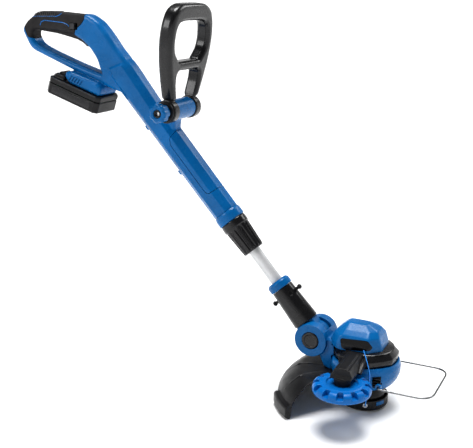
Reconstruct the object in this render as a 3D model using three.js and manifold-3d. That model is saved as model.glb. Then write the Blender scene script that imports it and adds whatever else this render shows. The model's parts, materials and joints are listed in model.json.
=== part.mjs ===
// Cordless telescopic lawn edger, in millimetres, +Z up.
//
// Everything is laid out in a machine frame whose X points forward, Y to the
// operator's left and Z up, with its origin on the ground under the spool axis.
// The shaft, the battery and the head each have a frame of their own inside it.
// The exported group puts the origin at the centre of the rear grip.

import * as THREE from 'three';
import { ConvexGeometry } from 'three/addons/geometries/ConvexGeometry.js';
import { mergeVertices } from 'three/addons/utils/BufferGeometryUtils.js';
import Module from 'manifold-3d';

const wasm = await Module();
wasm.setup();

// ---- driving dimensions ------------------------------------------------------------

const DEG = Math.PI / 180;
const GAP = 0.3;                              // room between pieces that touch

const GRIP = [-655, 667];                     // centre of the rear grip, x and z
const TILT_PIVOT = [-97.8, 114.5];            // axis between shaft and head, x and z
const SHAFT_ANGLE = 48.2;                     // shaft above the ground, degrees

const TUBE_R = 11.5;                          // aluminium tube
const TUBE_WALL = 1.2;
const TUBE_FROM = 40;                         // stations along the shaft, from the pivot
const TUBE_TO = 545;
const SLEEVE_FROM = 31.6;
const SLEEVE_TO = 107.6;
const RING_FROM = 108;
const RING_TO = 124;
const TWIST_FROM = 196;
const TWIST_TO = 264.2;
const COLLAR_FROM = 264.6;
const COLLAR_TO = 284.6;
const ARM_FROM = 285;
const ARM_TO = 648;
const ARM_HALF_WIDTH = 23;
const ARM_CHAMFER = 12;
const ARM_WALL = 4;
const PANEL_THICKNESS = 2;

const BOSS_STATION = 493;                     // front handle boss on the arm
const BOSS_RISE = 49.7;
const BOSS_R = 19.5;
const BOSS_HALF_WIDTH = 32.6;
const BOLT_R = 4;

const GRIP_HALF_WIDTH = 18;                   // rear handle
const GRIP_CHAMFER = 6;
const GRIP_WALL = 3.4;
const PAD_THICKNESS = 1.8;

const BATTERY_CORNER = [-553.5, 496.3];       // lower front edge of the pack, x and z
const BATTERY_ANGLE = 17.85;                  // rise towards the rear, degrees
const BATTERY_LENGTH = 123;
const BATTERY_HALF_WIDTH = 38;
const BATTERY_HEIGHT = 33;
const BATTERY_SPLIT = 22;
const CELL_R = 9.1;
const CELL_LENGTH = 65;
const CELL_COUNT = 5;
const DOCK_HALF_WIDTH = 30;

const LOOP_HALF_WIDTH = 71;                   // front handle, centre of the bar
const LOOP_HEIGHT = 184;
const LOOP_LEAN = 7.1;                        // forward lean, degrees
const RING_R = 21.5;
const RING_INNER_Y = 33;
const RING_OUTER_Y = 50;
const KNOB_R = 17.5;
const KNOB_LOBES = 7;

const DRUM_R = 30.8;                          // tilt joint
const DRUM_HALF_WIDTH = 33;
const KNUCKLE_R = 26;
const KNUCKLE_HALF_WIDTH = 12.5;
const BUTTON_R = 16;
const TILT_PIN_R = 4.8;

const BODY_R = 63.5;                          // motor housing of the head
const BAND_R = 59.5;
const BAND_FROM = 92;
const COVER_HALF_WIDTH = 42;
const MOTOR_R = 21;

const SPOOL_R = 43.75;
const SPOOL_HEIGHT = 21.4;

const WHEEL_CENTRE = [-5.6, -117];
const WHEEL_R = 51.4;
const WHEEL_FROM = 66.6;
const WHEEL_TO = 87.9;
const WHEEL_NOTCHES = 12;
const AXLE_R = 4;

const WIRE_R = 1.75;                          // plant guard wire
const WIRE_HALF_WIDTH = 69;
const WIRE_Z = 63.6;
const WIRE_PIVOT_X = 42;
const WIRE_FRONT_X = 139.7;

const GUARD_HALF_ANGLE = 53;                  // either side of straight back, degrees
const LINE_R = 0.9;                           // nylon cutting line

// ---- solids ------------------------------------------------------------------------

function toSolid(geometry) {
  const bare = geometry.clone();
  for (const name of Object.keys(bare.attributes)) {
    if (name !== 'position') bare.deleteAttribute(name);
  }
  const merged = mergeVertices(bare, 1e-4);
  const kept = [];
  for (let i = 0; i < merged.index.count; i += 3) {
    const [a, b, c] = [0, 1, 2].map((k) => merged.index.getX(i + k));
    if (a !== b && b !== c && c !== a) kept.push(a, b, c);
  }
  return new wasm.Manifold(new wasm.Mesh({
    numProp: 3,
    vertProperties: new Float32Array(merged.attributes.position.array),
    triVerts: new Uint32Array(kept),
  }));
}

function toGeometry(solid) {
  const { vertProperties, triVerts } = solid.getMesh();
  const geometry = new THREE.BufferGeometry();
  geometry.setAttribute('position', new THREE.BufferAttribute(vertProperties, 3));
  geometry.setIndex(new THREE.BufferAttribute(triVerts, 1));
  geometry.computeVertexNormals();
  return geometry;
}

const join = (first, ...others) => others.reduce((sum, part) => sum.add(part), first);
const cut = (first, ...others) => others.reduce((rest, part) => rest.subtract(part), first);

// Outlines may be listed either way round.
function outlineOf(points) {
  const corners = points.map(([x, y]) => new THREE.Vector2(x, y));
  return new THREE.Shape(THREE.ShapeUtils.isClockWise(corners) ? corners.reverse() : corners);
}

// An outline pushed along local Z, its rim chamfered and its walls moved in by inset.
function prism(points, depth, { chamfer = 0, inset = 0, holes = [] } = {}) {
  const shape = outlineOf(points);
  shape.holes = holes.map(outlineOf);
  const rim = Math.max(chamfer, inset > 0 ? 0.01 : 0);
  const geometry = new THREE.ExtrudeGeometry(shape, {
    depth: depth - 2 * rim,
    bevelEnabled: rim > 0,
    bevelThickness: rim,
    bevelSize: rim,
    bevelOffset: -rim - inset,
    bevelSegments: 1,
  });
  geometry.translate(0, 0, rim);
  return geometry;
}

// An XZ outline between two Y values.
function slab(points, fromY, toY, options) {
  const geometry = prism(points, toY - fromY, options);
  return toSolid(geometry.rotateX(90 * DEG).translate(0, toY, 0));
}

// An XY outline between two Z values.
function plate(points, fromZ, toZ, options) {
  return toSolid(prism(points, toZ - fromZ, options).translate(0, 0, fromZ));
}

function box(fromX, toX, fromY, toY, fromZ, toZ) {
  const geometry = new THREE.BoxGeometry(toX - fromX, toY - fromY, toZ - fromZ);
  return toSolid(geometry.translate((fromX + toX) / 2, (fromY + toY) / 2, (fromZ + toZ) / 2));
}

// A turned piece: [radius, height] pairs revolved about local Z.
function turned(profile, segments = 32) {
  const points = profile.map(([r, z]) => new THREE.Vector2(r, z));
  return toSolid(new THREE.LatheGeometry(points, segments).rotateX(90 * DEG));
}

// A turned ring whose profile closes on itself, listed either way round.
function turnedRing(profile, segments) {
  const corners = profile.map(([r, z]) => new THREE.Vector2(r, z));
  const ordered = THREE.ShapeUtils.isClockWise(corners) ? [...profile].reverse() : profile;
  return turned([...ordered, ordered[0]], segments);
}

// A round rod about local Z, and one about Y through a point of the XZ plane.
function rodZ(radius, fromZ, toZ, segments = 24) {
  return turned([[0, fromZ], [radius, fromZ], [radius, toZ], [0, toZ]], segments);
}

function rodY(radius, fromY, toY, [x, z] = [0, 0], segments = 24) {
  const geometry = new THREE.CylinderGeometry(radius, radius, toY - fromY, segments);
  return toSolid(geometry.translate(x, (fromY + toY) / 2, z));
}

// A bar of a given section along a smooth or straight path.
function bar(path, section, steps) {
  const geometry = new THREE.ExtrudeGeometry(outlineOf(section), {
    steps,
    extrudePath: path,
    bevelEnabled: false,
  });
  return toSolid(geometry);
}

function roundSection(radius, sides) {
  return Array.from({ length: sides }, (_, i) => {
    const angle = 2 * Math.PI * i / sides;
    return [radius * Math.cos(angle), radius * Math.sin(angle)];
  });
}

function arc([x, y], radius, fromDeg, toDeg, count) {
  return Array.from({ length: count + 1 }, (_, i) => {
    const angle = (fromDeg + (toDeg - fromDeg) * i / count) * DEG;
    return [x + radius * Math.cos(angle), y + radius * Math.sin(angle)];
  });
}

// ---- colours and the scene graph ---------------------------------------------------

const finishes = {
  blue: { color: 0x1463ae, roughness: 0.38, metalness: 0 },
  brightBlue: { color: 0x0a7ae0, roughness: 0.35, metalness: 0 },
  black: { color: 0x1b1b1d, roughness: 0.45, metalness: 0 },
  rubber: { color: 0x29282a, roughness: 0.75, metalness: 0 },
  aluminium: { color: 0xd9dadc, roughness: 0.3, metalness: 0.9 },
  steel: { color: 0xb4b6b8, roughness: 0.28, metalness: 1 },
  brass: { color: 0xb58b42, roughness: 0.35, metalness: 1 },
  cell: { color: 0x2d7d5b, roughness: 0.5, metalness: 0 },
  line: { color: 0x3d9be6, roughness: 0.4, metalness: 0 },
};

function addMesh(parent, name, solid, finish) {
  const mesh = new THREE.Mesh(toGeometry(solid), new THREE.MeshStandardMaterial(finishes[finish]));
  mesh.name = name;
  parent.add(mesh);
  return mesh;
}

const machine = new THREE.Group();
machine.position.set(-GRIP[0], 0, -GRIP[1]);

// Shaft frame: Z runs up the shaft from the tilt pivot, X is square to it, forward and up.
const shaft = new THREE.Group();
shaft.position.set(TILT_PIVOT[0], 0, TILT_PIVOT[1]);
shaft.rotation.y = (SHAFT_ANGLE - 90) * DEG;
machine.add(shaft);

// Battery frame: origin on the pack's lower front edge, X forward along it, Z out of its top.
const battery = new THREE.Group();
battery.position.set(BATTERY_CORNER[0], 0, BATTERY_CORNER[1]);
battery.rotation.y = BATTERY_ANGLE * DEG;
machine.add(battery);

function placed(solid, frame) {
  frame.updateMatrix();
  return solid.transform(frame.matrix.elements);
}

const fromShaft = (solid) => placed(solid, shaft);
const fromBattery = (solid) => placed(solid, battery);

// A point of the shaft frame in the machine's XZ plane.
function shaftPoint(rise, station) {
  const up = SHAFT_ANGLE * DEG;
  return [
    TILT_PIVOT[0] + rise * Math.sin(up) - station * Math.cos(up),
    TILT_PIVOT[1] + rise * Math.cos(up) + station * Math.sin(up),
  ];
}

// ---- main housing: two clamshell halves split on the middle plane -------------------

const bossCentre = shaftPoint(BOSS_RISE, BOSS_STATION);

// Arm, as [rise, station] in the shaft frame.
const armOutline = [
  [-22.5, ARM_FROM - 20], [-23.5, 400], [-23.5, ARM_TO - 26], [-16, ARM_TO],
  [27, ARM_TO - 16], [29, ARM_TO - 32], [24, 528], [23.5, 468], [22.5, ARM_FROM - 20],
];

// Rear handle in the machine frame.
const handleOutline = [
  [-646, 686], [-600, 683], [-587, 684], [-577, 681.5], [-557, 670], [-543, 656], [-527, 637],
  [-515, 621], [-501, 607], [-475, 572], [-482, 536], [-512, 540], [-530, 545], [-560, 556],
  [-637, 581.5], [-711, 609.5], [-720, 617], [-731, 638], [-737, 651], [-725, 667], [-699, 685],
];
const handleOpening = [
  [-712, 640], [-710, 651], [-658, 651], [-635, 648], [-612, 643], [-594, 634], [-575, 618],
  [-561, 602], [-559, 594], [-556, 583], [-549, 571.5], [-607, 588], [-670, 609.5], [-696, 620],
  [-704, 626],
];

// Dock for the battery, in the battery frame.
const dockOutline = [
  [-78, BATTERY_HEIGHT + 0.4], [-11, BATTERY_HEIGHT + 0.4], [-5, 43], [-9, 52.5],
  [-17, 57.5], [-85, 56], [-92, 51], [-91, 42],
];
const DOCK_GROOVE_TOP = 43.6;
const DOCK_GROOVE_HALF_WIDTH = 23.6;
const DOCK_GROOVE_FRONT = -9;

// Arm that carries the boss, in the shaft frame.
const bossWeb = [
  [15, BOSS_STATION - 46], [15, BOSS_STATION + 44], [36, BOSS_STATION + 22],
  [52, BOSS_STATION + 6], [52, BOSS_STATION - 12], [34, BOSS_STATION - 22],
];

const coverRegion = [
  [1, 328], [1, 436], [9, 446], [24, 449], [40, 449], [40, 320], [20, 320], [4, 322],
];
const padRegion = [
  [-724, 669], [-730, 655], [-722, 637], [-708, 633], [-690, 650], [-612, 640], [-606, 655],
  [-598, 664], [-592, 674], [-594, 695], [-735, 695],
];

const triggerOutline = [
  [-699, 649.5], [-680, 647.3], [-658, 645], [-635, 640.5], [-610, 635], [-597, 629.5],
  [-588, 622.5], [-581, 622], [-580, 627.5], [-587, 637], [-595, 645.5], [-610, 653], [-660, 656],
  [-699, 655.5],
];
const triggerSlot = [
  [-703, 640], [-703, 660], [-655, 668], [-600, 668], [-586, 660], [-574, 644], [-571, 628],
  [-571, 600], [-620, 600], [-690, 630],
];
const TRIGGER_HALF_WIDTH = 9;

const lockCentre = [-611, 660];

// Screw places, as [rise, station]: two in the arm, one in the nose, one in the strut.
const screwPlaces = [
  shaftPoint(-16.5, 350), shaftPoint(-16.5, 452), shaftPoint(8, ARM_TO + 24), [-690, 608],
];
const SCREW_POST_R = 4;
const SCREW_SHANK_R = 1.6;
const SCREW_HEAD_R = 3.4;
const SCREW_HEAD_Y = 12;

// The arm's outer form moved in by a depth, its lower end cut square to the tube.
function armSolid(depth) {
  const whole = slab(armOutline, -ARM_HALF_WIDTH + depth, ARM_HALF_WIDTH - depth,
    { chamfer: ARM_CHAMFER - depth / 2, inset: depth });
  return fromShaft(whole.intersect(box(-60, 60, -60, 60, ARM_FROM + depth, 700)));
}

function housingShell() {
  const handle = slab(handleOutline, -GRIP_HALF_WIDTH, GRIP_HALF_WIDTH,
    { chamfer: GRIP_CHAMFER, holes: [handleOpening] });
  const handleCavity = slab(handleOutline, -GRIP_HALF_WIDTH + GRIP_WALL, GRIP_HALF_WIDTH - GRIP_WALL,
    { chamfer: 2, inset: GRIP_WALL, holes: [handleOpening] });
  const dock = fromBattery(slab(dockOutline, -DOCK_HALF_WIDTH, DOCK_HALF_WIDTH, { chamfer: 3 }));
  const dockCavity = fromBattery(box(-84, -15, -26, 26, DOCK_GROOVE_TOP + 3, 53));
  const groove = fromBattery(box(-130, DOCK_GROOVE_FRONT, -DOCK_GROOVE_HALF_WIDTH,
    DOCK_GROOVE_HALF_WIDTH, 0, DOCK_GROOVE_TOP));
  const web = fromShaft(slab(bossWeb, -15, 15, { chamfer: 4 }));
  const boss = rodY(BOSS_R, -BOSS_HALF_WIDTH, BOSS_HALF_WIDTH, bossCentre, 28);
  const bossCavities = [-1, 1].map((side) => rodY(BOSS_R - 4, Math.min(side * 18, side * 40),
    Math.max(side * 18, side * 40), bossCentre, 24));
  const tubeWay = fromShaft(rodZ(TUBE_R + 0.5, ARM_FROM - 5, ARM_FROM + 8));
  return {
    outer: join(armSolid(0), handle, dock, web, boss),
    cavity: join(armSolid(ARM_WALL), handleCavity, dockCavity, tubeWay, groove,
      rodY(BOLT_R + 0.4, -60, 60, bossCentre), ...bossCavities),
  };
}

function inset(outline, amount, halfWidth, chamfer, holes = []) {
  return slab(outline, -halfWidth + amount, halfWidth - amount, { chamfer, inset: amount, holes });
}

function buildHousing() {
  const { outer, cavity } = housingShell();

  // Panel over the upper front of the arm, let into the halves.
  const region = fromShaft(slab(coverRegion, -40, 40));
  const grown = fromShaft(slab(coverRegion, -41, 41, { inset: -GAP, chamfer: 0.01 }));
  const panelSeat = cut(grown, armSolid(PANEL_THICKNESS + GAP));
  const shaftCover = cut(armSolid(0).intersect(region), armSolid(PANEL_THICKNESS));

  // Rubber pads over the rear of the handle.
  const padArea = slab(padRegion, -30, 30);
  const padGrown = slab(padRegion, -31, 31, { inset: -GAP, chamfer: 0.01 });
  const handle = inset(handleOutline, 0, GRIP_HALF_WIDTH, GRIP_CHAMFER, [handleOpening]);
  const padUnder = inset(handleOutline, PAD_THICKNESS, GRIP_HALF_WIDTH, GRIP_CHAMFER - 2, [handleOpening]);
  const padDeeper = inset(handleOutline, PAD_THICKNESS + GAP, GRIP_HALF_WIDTH, GRIP_CHAMFER - 2,
    [handleOpening]);
  const padSeat = cut(padGrown, padDeeper);
  const slot = slab(triggerSlot, -TRIGGER_HALF_WIDTH - 0.7, TRIGGER_HALF_WIDTH + 0.7);
  const lockHole = box(lockCentre[0] - 9, lockCentre[0] + 9, -30, -9.5, lockCentre[1] - 6.5, lockCentre[1] + 6.5);
  const pads = cut(handle.intersect(padArea), padUnder, slot, lockHole);

  const posts = screwPlaces.map((place) => rodY(SCREW_POST_R, -30, 30, place, 16).intersect(outer));
  const holes = screwPlaces.flatMap((place) => [
    rodY(SCREW_SHANK_R + 0.2, -14, 30, place, 12),
    rodY(SCREW_HEAD_R + 0.4, SCREW_HEAD_Y, 40, place, 16),
  ]);
  const hollow = join(cut(outer, cavity), ...posts);
  const shell = cut(hollow, panelSeat, padSeat, slot, lockHole, ...holes);

  const left = box(-900, 200, 0.15, 100, 100, 900);
  const right = box(-900, 200, -100, -0.15, 100, 900);
  addMesh(machine, 'housing_left', shell.intersect(left), 'blue');
  addMesh(machine, 'housing_right', shell.intersect(right), 'blue');
  addMesh(machine, 'grip_pad_left', pads.intersect(left), 'rubber');
  addMesh(machine, 'grip_pad_right', pads.intersect(right), 'rubber');
  addMesh(machine, 'shaft_cover', shaftCover, 'blue');

  screwPlaces.forEach((place, i) => {
    const head = rodY(SCREW_HEAD_R, SCREW_HEAD_Y + 0.3, SCREW_HEAD_Y + 3, place, 16);
    const shank = rodY(SCREW_SHANK_R, -13, SCREW_HEAD_Y + 1, place, 10);
    addMesh(machine, `housing_screw_${i + 1}`, join(head, shank), 'steel');
  });
}

function buildControls() {
  const trigger = slab(triggerOutline, -TRIGGER_HALF_WIDTH, TRIGGER_HALF_WIDTH, { chamfer: 1.5 });
  addMesh(machine, 'trigger', trigger, 'rubber');

  const [x, z] = lockCentre;
  const key = box(x - 8, x + 2, -19.5, -12.6, z - 5.5, z + 5.5);
  addMesh(machine, 'lock_off_button', key, 'rubber');

  const body = box(-628, -600, -7, 7, 669, 677);
  const plunger = box(-616, -612, -3, 3, 667.5, 670);
  addMesh(machine, 'trigger_switch', join(body, plunger), 'black');

  // Contact block at the front of the dock, with one blade for each slot in the pack.
  const plateBlock = box(-14.6, DOCK_GROOVE_FRONT - GAP, -18, 18, 34.2, DOCK_GROOVE_TOP - GAP);
  const blades = [-12, -4, 4, 12].map((y) => box(-23, -14, y - 0.5, y + 0.5, 36.5, 40.5));
  addMesh(battery, 'terminal_block', join(plateBlock, ...blades), 'brass');
}

function buildBattery() {
  const length = BATTERY_LENGTH;
  const half = BATTERY_HALF_WIDTH;
  const corner = 8;
  const plan = (side) => [
    [-side - length + 2 * side, -half + corner + side], [-length + corner + side, -half + side],
    [-corner - side, -half + side], [-side, -half + corner + side],
    [-side, half - corner - side], [-corner - side, half - side],
    [-length + corner + side, half - side], [-length + side, half - corner - side],
  ];
  const wall = 2.4;
  const lower = plate(plan(0), 0, BATTERY_SPLIT, { chamfer: 1.5 });
  const room = plate(plan(wall), wall, BATTERY_SPLIT + 5);
  addMesh(battery, 'battery_base', cut(lower, room), 'black');

  const lidRoom = plate(plan(wall), 0, BATTERY_HEIGHT - wall);
  const upper = plate(plan(0), BATTERY_SPLIT + GAP, BATTERY_HEIGHT, { chamfer: 1.5 });
  const rail = box(-90, -16, -22.8, 22.8, BATTERY_HEIGHT - 2, DOCK_GROOVE_TOP - 0.6);
  const hump = slab([[-120, 30], [-120, 36], [-115, 40.5], [-97, 40.5], [-93.5, 38], [-93.5, 30]], -25, 25,
    { chamfer: 2 });
  const latchPocket = box(-115.4, -99.6, -14.4, 14.4, 35.5, 50);
  const contactPocket = box(-32, -10, -18.4, 18.4, 35.2, 42);
  const lid = cut(join(upper, rail, hump), lidRoom, latchPocket, contactPocket);
  addMesh(battery, 'battery_top', lid, 'black');

  const block = box(-31.6, -16.4, -18, 18, 35.5, 41.7);
  const slits = [-12, -4, 4, 12].map((y) => box(-27, -10, y - 1, y + 1, 30, 60));
  addMesh(battery, 'battery_terminals', cut(block, ...slits), 'brass');

  const latch = slab([[-115, 38.6], [-115, 41.5], [-112, 43.5], [-100, 42.8], [-100, 38.6]], -14, 14,
    { chamfer: 1 });
  addMesh(battery, 'battery_release_button', latch, 'black');

  const pitch = 2 * CELL_R + 1.4;
  const firstX = -length / 2 - pitch * (CELL_COUNT - 1) / 2;
  for (let i = 0; i < CELL_COUNT; i += 1) {
    const place = [firstX + i * pitch, wall + GAP + CELL_R];
    const cell = rodY(CELL_R, -CELL_LENGTH / 2, CELL_LENGTH / 2, place, 20);
    addMesh(battery, `battery_cell_${i + 1}`, cell, 'cell');
  }
}

// ---- front handle ------------------------------------------------------------------

// A YZ outline with windows in it, as deep as given either side of X = 0.
function loopPlate(outer, windows, halfDepth, chamfer) {
  const geometry = prism(outer, 2 * halfDepth, { chamfer, holes: windows });
  geometry.rotateX(90 * DEG).rotateZ(90 * DEG).translate(-halfDepth, 0, 0);
  return toSolid(geometry);
}

function mirrored(points) {
  const other = points.map(([y, z]) => [-y, z]).reverse();
  return [...points, ...other];
}

function buildFrontHandle() {
  const top = LOOP_HEIGHT + 12;
  const wide = LOOP_HALF_WIDTH + 11;
  const outer = mirrored([
    [RING_OUTER_Y, 21], [RING_OUTER_Y + 7, 36], [RING_OUTER_Y + 14, 54], [wide - 6, 92], [wide, 128],
    [wide - 3, 160], [wide - 18, top - 9], [wide - 44, top],
  ]);
  const upperWindow = mirrored([
    [38, 92], [LOOP_HALF_WIDTH - 14, 112], [LOOP_HALF_WIDTH - 10, 128], [LOOP_HALF_WIDTH - 13, 150],
    [LOOP_HALF_WIDTH - 20, top - 36], [30, top - 31],
  ]);
  const lowerWindow = mirrored([
    [RING_INNER_Y, -40], [RING_INNER_Y, 20], [44, 58], [44, 70], [38, 76],
  ]);
  const plateSolid = loopPlate(outer, [upperWindow], 14, 6);
  const notch = loopPlate(lowerWindow, [], 30, 0);
  const rings = [-1, 1].map((side) => {
    const near = Math.min(side * RING_INNER_Y, side * RING_OUTER_Y);
    return rodY(RING_R, near, near + RING_OUTER_Y - RING_INNER_Y, [0, 0], 36);
  });
  const bore = rodY(BOLT_R + 0.3, -90, 90);
  const solid = cut(join(cut(plateSolid, notch), ...rings), bore);

  const frame = new THREE.Group();
  frame.position.set(bossCentre[0], 0, bossCentre[1]);
  frame.rotation.y = LOOP_LEAN * DEG;
  machine.add(frame);
  addMesh(frame, 'front_handle', solid, 'black');

  const across = new THREE.Group();
  across.position.copy(frame.position);
  machine.add(across);
  const shank = rodY(BOLT_R, -76, 56, [0, 0], 20);
  const head = rodY(8, 50.3, 56, [0, 0], 6);
  addMesh(across, 'handle_bolt', join(shank, head), 'steel');

  const washer = cut(rodY(19, -55, -50.3, [0, 0], 32), rodY(BOLT_R + 0.3, -90, 90));
  addMesh(across, 'knob_washer', washer, 'black');

  const lobes = Array.from({ length: KNOB_LOBES * 4 }, (_, i) => {
    const angle = 2 * Math.PI * i / (KNOB_LOBES * 4);
    const r = KNOB_R - (i % 4 === 2 ? 3.4 : i % 4 === 0 ? 0 : 0.9);
    return [r * Math.cos(angle), r * Math.sin(angle)];
  });
  const star = join(slab(lobes, -82, -62, { chamfer: 2 }), rodY(13, -62.5, -55.3, [0, 0], 24));
  const recess = rodY(7.5, -90, -74);
  addMesh(across, 'star_knob', cut(star, recess, rodY(BOLT_R + 0.3, -90, -50)), 'blue');
}

// ---- shaft -------------------------------------------------------------------------

function buildShaft() {
  const collar = turnedRing([
    [TUBE_R + 0.6, COLLAR_FROM], [25.5, COLLAR_FROM], [27, COLLAR_FROM + 2], [27, COLLAR_TO - 5],
    [25, COLLAR_TO], [TUBE_R + 0.6, COLLAR_TO],
  ], 32);
  addMesh(shaft, 'end_collar', collar, 'blue');

  const bush = turnedRing([
    [TUBE_R + 0.15, ARM_FROM + 9], [17.5, ARM_FROM + 9], [17.5, ARM_FROM + 38], [TUBE_R + 0.15, ARM_FROM + 38],
  ], 32);
  addMesh(shaft, 'tube_bush', bush, 'black');

  const nut = turnedRing([
    [TUBE_R + 0.5, TWIST_FROM], [19.8, TWIST_FROM], [21, TWIST_FROM + 1.5], [24.3, TWIST_TO - 15],
    [26, TWIST_TO - 13], [26, TWIST_TO - 2], [25, TWIST_TO], [TUBE_R + 0.5, TWIST_TO],
  ], 24);
  const fluteAngle = Math.atan2(3.3, TWIST_TO - 15 - TWIST_FROM);
  const flutes = Array.from({ length: 12 }, (_, i) => {
    const groove = new THREE.BoxGeometry(5, 4.2, TWIST_TO - TWIST_FROM - 19);
    groove.rotateY(fluteAngle).translate(23.6, 0, (TWIST_FROM + TWIST_TO - 17) / 2);
    return toSolid(groove.rotateZ((30 * i + 15) * DEG));
  });
  addMesh(shaft, 'twist_collar', cut(nut, ...flutes), 'black');

  const tube = turnedRing([
    [TUBE_R - TUBE_WALL, TUBE_FROM], [TUBE_R, TUBE_FROM], [TUBE_R, TUBE_TO], [TUBE_R - TUBE_WALL, TUBE_TO],
  ], 32);
  addMesh(shaft, 'shaft_tube', tube, 'aluminium');

  const ring = turnedRing([
    [TUBE_R + 0.5, RING_FROM], [22.8, RING_FROM], [22.8, RING_TO - 4], [19, RING_TO], [TUBE_R + 0.5, RING_TO],
  ], 36);
  addMesh(shaft, 'release_ring', ring, 'blue');

  const sleeve = turnedRing([
    [TUBE_R + 0.3, SLEEVE_FROM + 6], [8, SLEEVE_FROM + 6], [8, SLEEVE_FROM], [24.8, SLEEVE_FROM],
    [21.2, SLEEVE_TO], [TUBE_R + 0.3, SLEEVE_TO],
  ], 32);
  const pinHoles = rodY(3.3, 14, 40).rotate([0, 0, 90]).translate([0, 0, 91]);
  const oppositePinHole = rodY(3.3, 14, 40).rotate([0, 0, -90]).translate([0, 0, 91]);
  const keyhole = box(19.4, 26, -4, 4, 86, 95).rotate([0, 0, -41]);
  addMesh(shaft, 'lower_sleeve', cut(sleeve, pinHoles, oppositePinHole, keyhole), 'black');

  for (const [name, side] of [['sleeve_pin_front', 1], ['sleeve_pin_rear', -1]]) {
    const pin = turned([[0, 14.5], [3, 14.5], [3, 29], [4.6, 30], [4.6, 33], [3, 35], [0, 35]], 16);
    addMesh(shaft, name, pin.rotate([0, 90 * side, 0]).translate([0, 0, 91]), 'black');
  }

  const drum = rodY(KNUCKLE_R, -KNUCKLE_HALF_WIDTH, KNUCKLE_HALF_WIDTH, [0, 0], 40);
  const stem = box(-20, 20, -KNUCKLE_HALF_WIDTH, KNUCKLE_HALF_WIDTH, 10, SLEEVE_FROM - GAP);
  const spigot = rodZ(7.6, 20, SLEEVE_FROM + 7);
  const pinBore = rodY(TILT_PIN_R + 0.2, -20, 20);
  addMesh(shaft, 'pivot_knuckle', cut(join(drum, stem, spigot), pinBore), 'blue');
}

// ---- head --------------------------------------------------------------------------

// The two shells that carry the tilt drum and reach down to the motor housing.
function buildNeck() {
  const drum = rodY(DRUM_R, -DRUM_HALF_WIDTH, DRUM_HALF_WIDTH, TILT_PIVOT, 36);
  const neck = slab([
    [-100, 90], [-82, 86], [-73, 67], [-50, 57], [-50, 122], [-66, 124], [-72, 134], [-98, 120],
  ], -27, 27, { chamfer: 4 });
  const knuckleRoom = rodY(DRUM_R + 0.6, -KNUCKLE_HALF_WIDTH - 0.6, KNUCKLE_HALF_WIDTH + 0.6, TILT_PIVOT, 36);
  const pinBore = rodY(TILT_PIN_R + 0.2, -24, 29.5, TILT_PIVOT);
  const buttonPocket = rodY(BUTTON_R + 0.4, -40, -22, TILT_PIVOT, 36);
  const bodyRoom = rodZ(BODY_R + GAP, 0, BAND_FROM + 0.1, 36);
  const bandRoom = rodZ(BAND_R + GAP, BAND_FROM, 200, 32);
  const neckCut = cut(neck, bodyRoom, bandRoom, coverSolid(GAP));
  const whole = cut(join(drum, neckCut), knuckleRoom, pinBore, buttonPocket);
  addMesh(machine, 'neck_left', whole.intersect(box(-300, 0, 0.15, 100, 0, 300)), 'blue');
  addMesh(machine, 'neck_right', whole.intersect(box(-300, 0, -100, -0.15, 0, 300)), 'blue');
  addMesh(machine, 'tilt_pin', rodY(TILT_PIN_R, -21, 29, TILT_PIVOT, 20), 'steel');

  const button = turned([[0, 27], [BUTTON_R, 27], [BUTTON_R, 33], [BUTTON_R - 2, 34.6], [0, 35.4]], 32)
    .rotate([90, 0, 0]).translate([TILT_PIVOT[0], 0, TILT_PIVOT[1]]);
  addMesh(machine, 'pivot_button', button, 'black');
}

// Levels of the faceted motor cover: height, rear x, front x, half width, corner cut.
const coverLevels = [
  [112, -62, 35.5, 42, 20],
  [124, -61, 33.5, 42, 20],
  [138, -55, 28.5, 38, 16],
  [147, -46, 23, 26, 12],
  [155, -36, 2, 11, 4],
];

function hull(points) {
  return toSolid(new ConvexGeometry(points.map((p) => new THREE.Vector3(...p))));
}

// The cover's outer form, moved out by grow, or in where grow is negative.
function coverSolid(grow) {
  return hull(coverLevels.flatMap(([z, rear, front, half, corner], i) => {
    const level = i === 0 ? z - Math.max(grow, -grow * 4) : z + grow;
    const ends = [[rear - grow, -1], [front + grow, 1]];
    return ends.flatMap(([x, way]) => [-1, 1].flatMap((side) => [
      [x, side * (half + grow - corner), level],
      [x - way * corner, side * (half + grow), level],
    ]));
  }));
}

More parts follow.
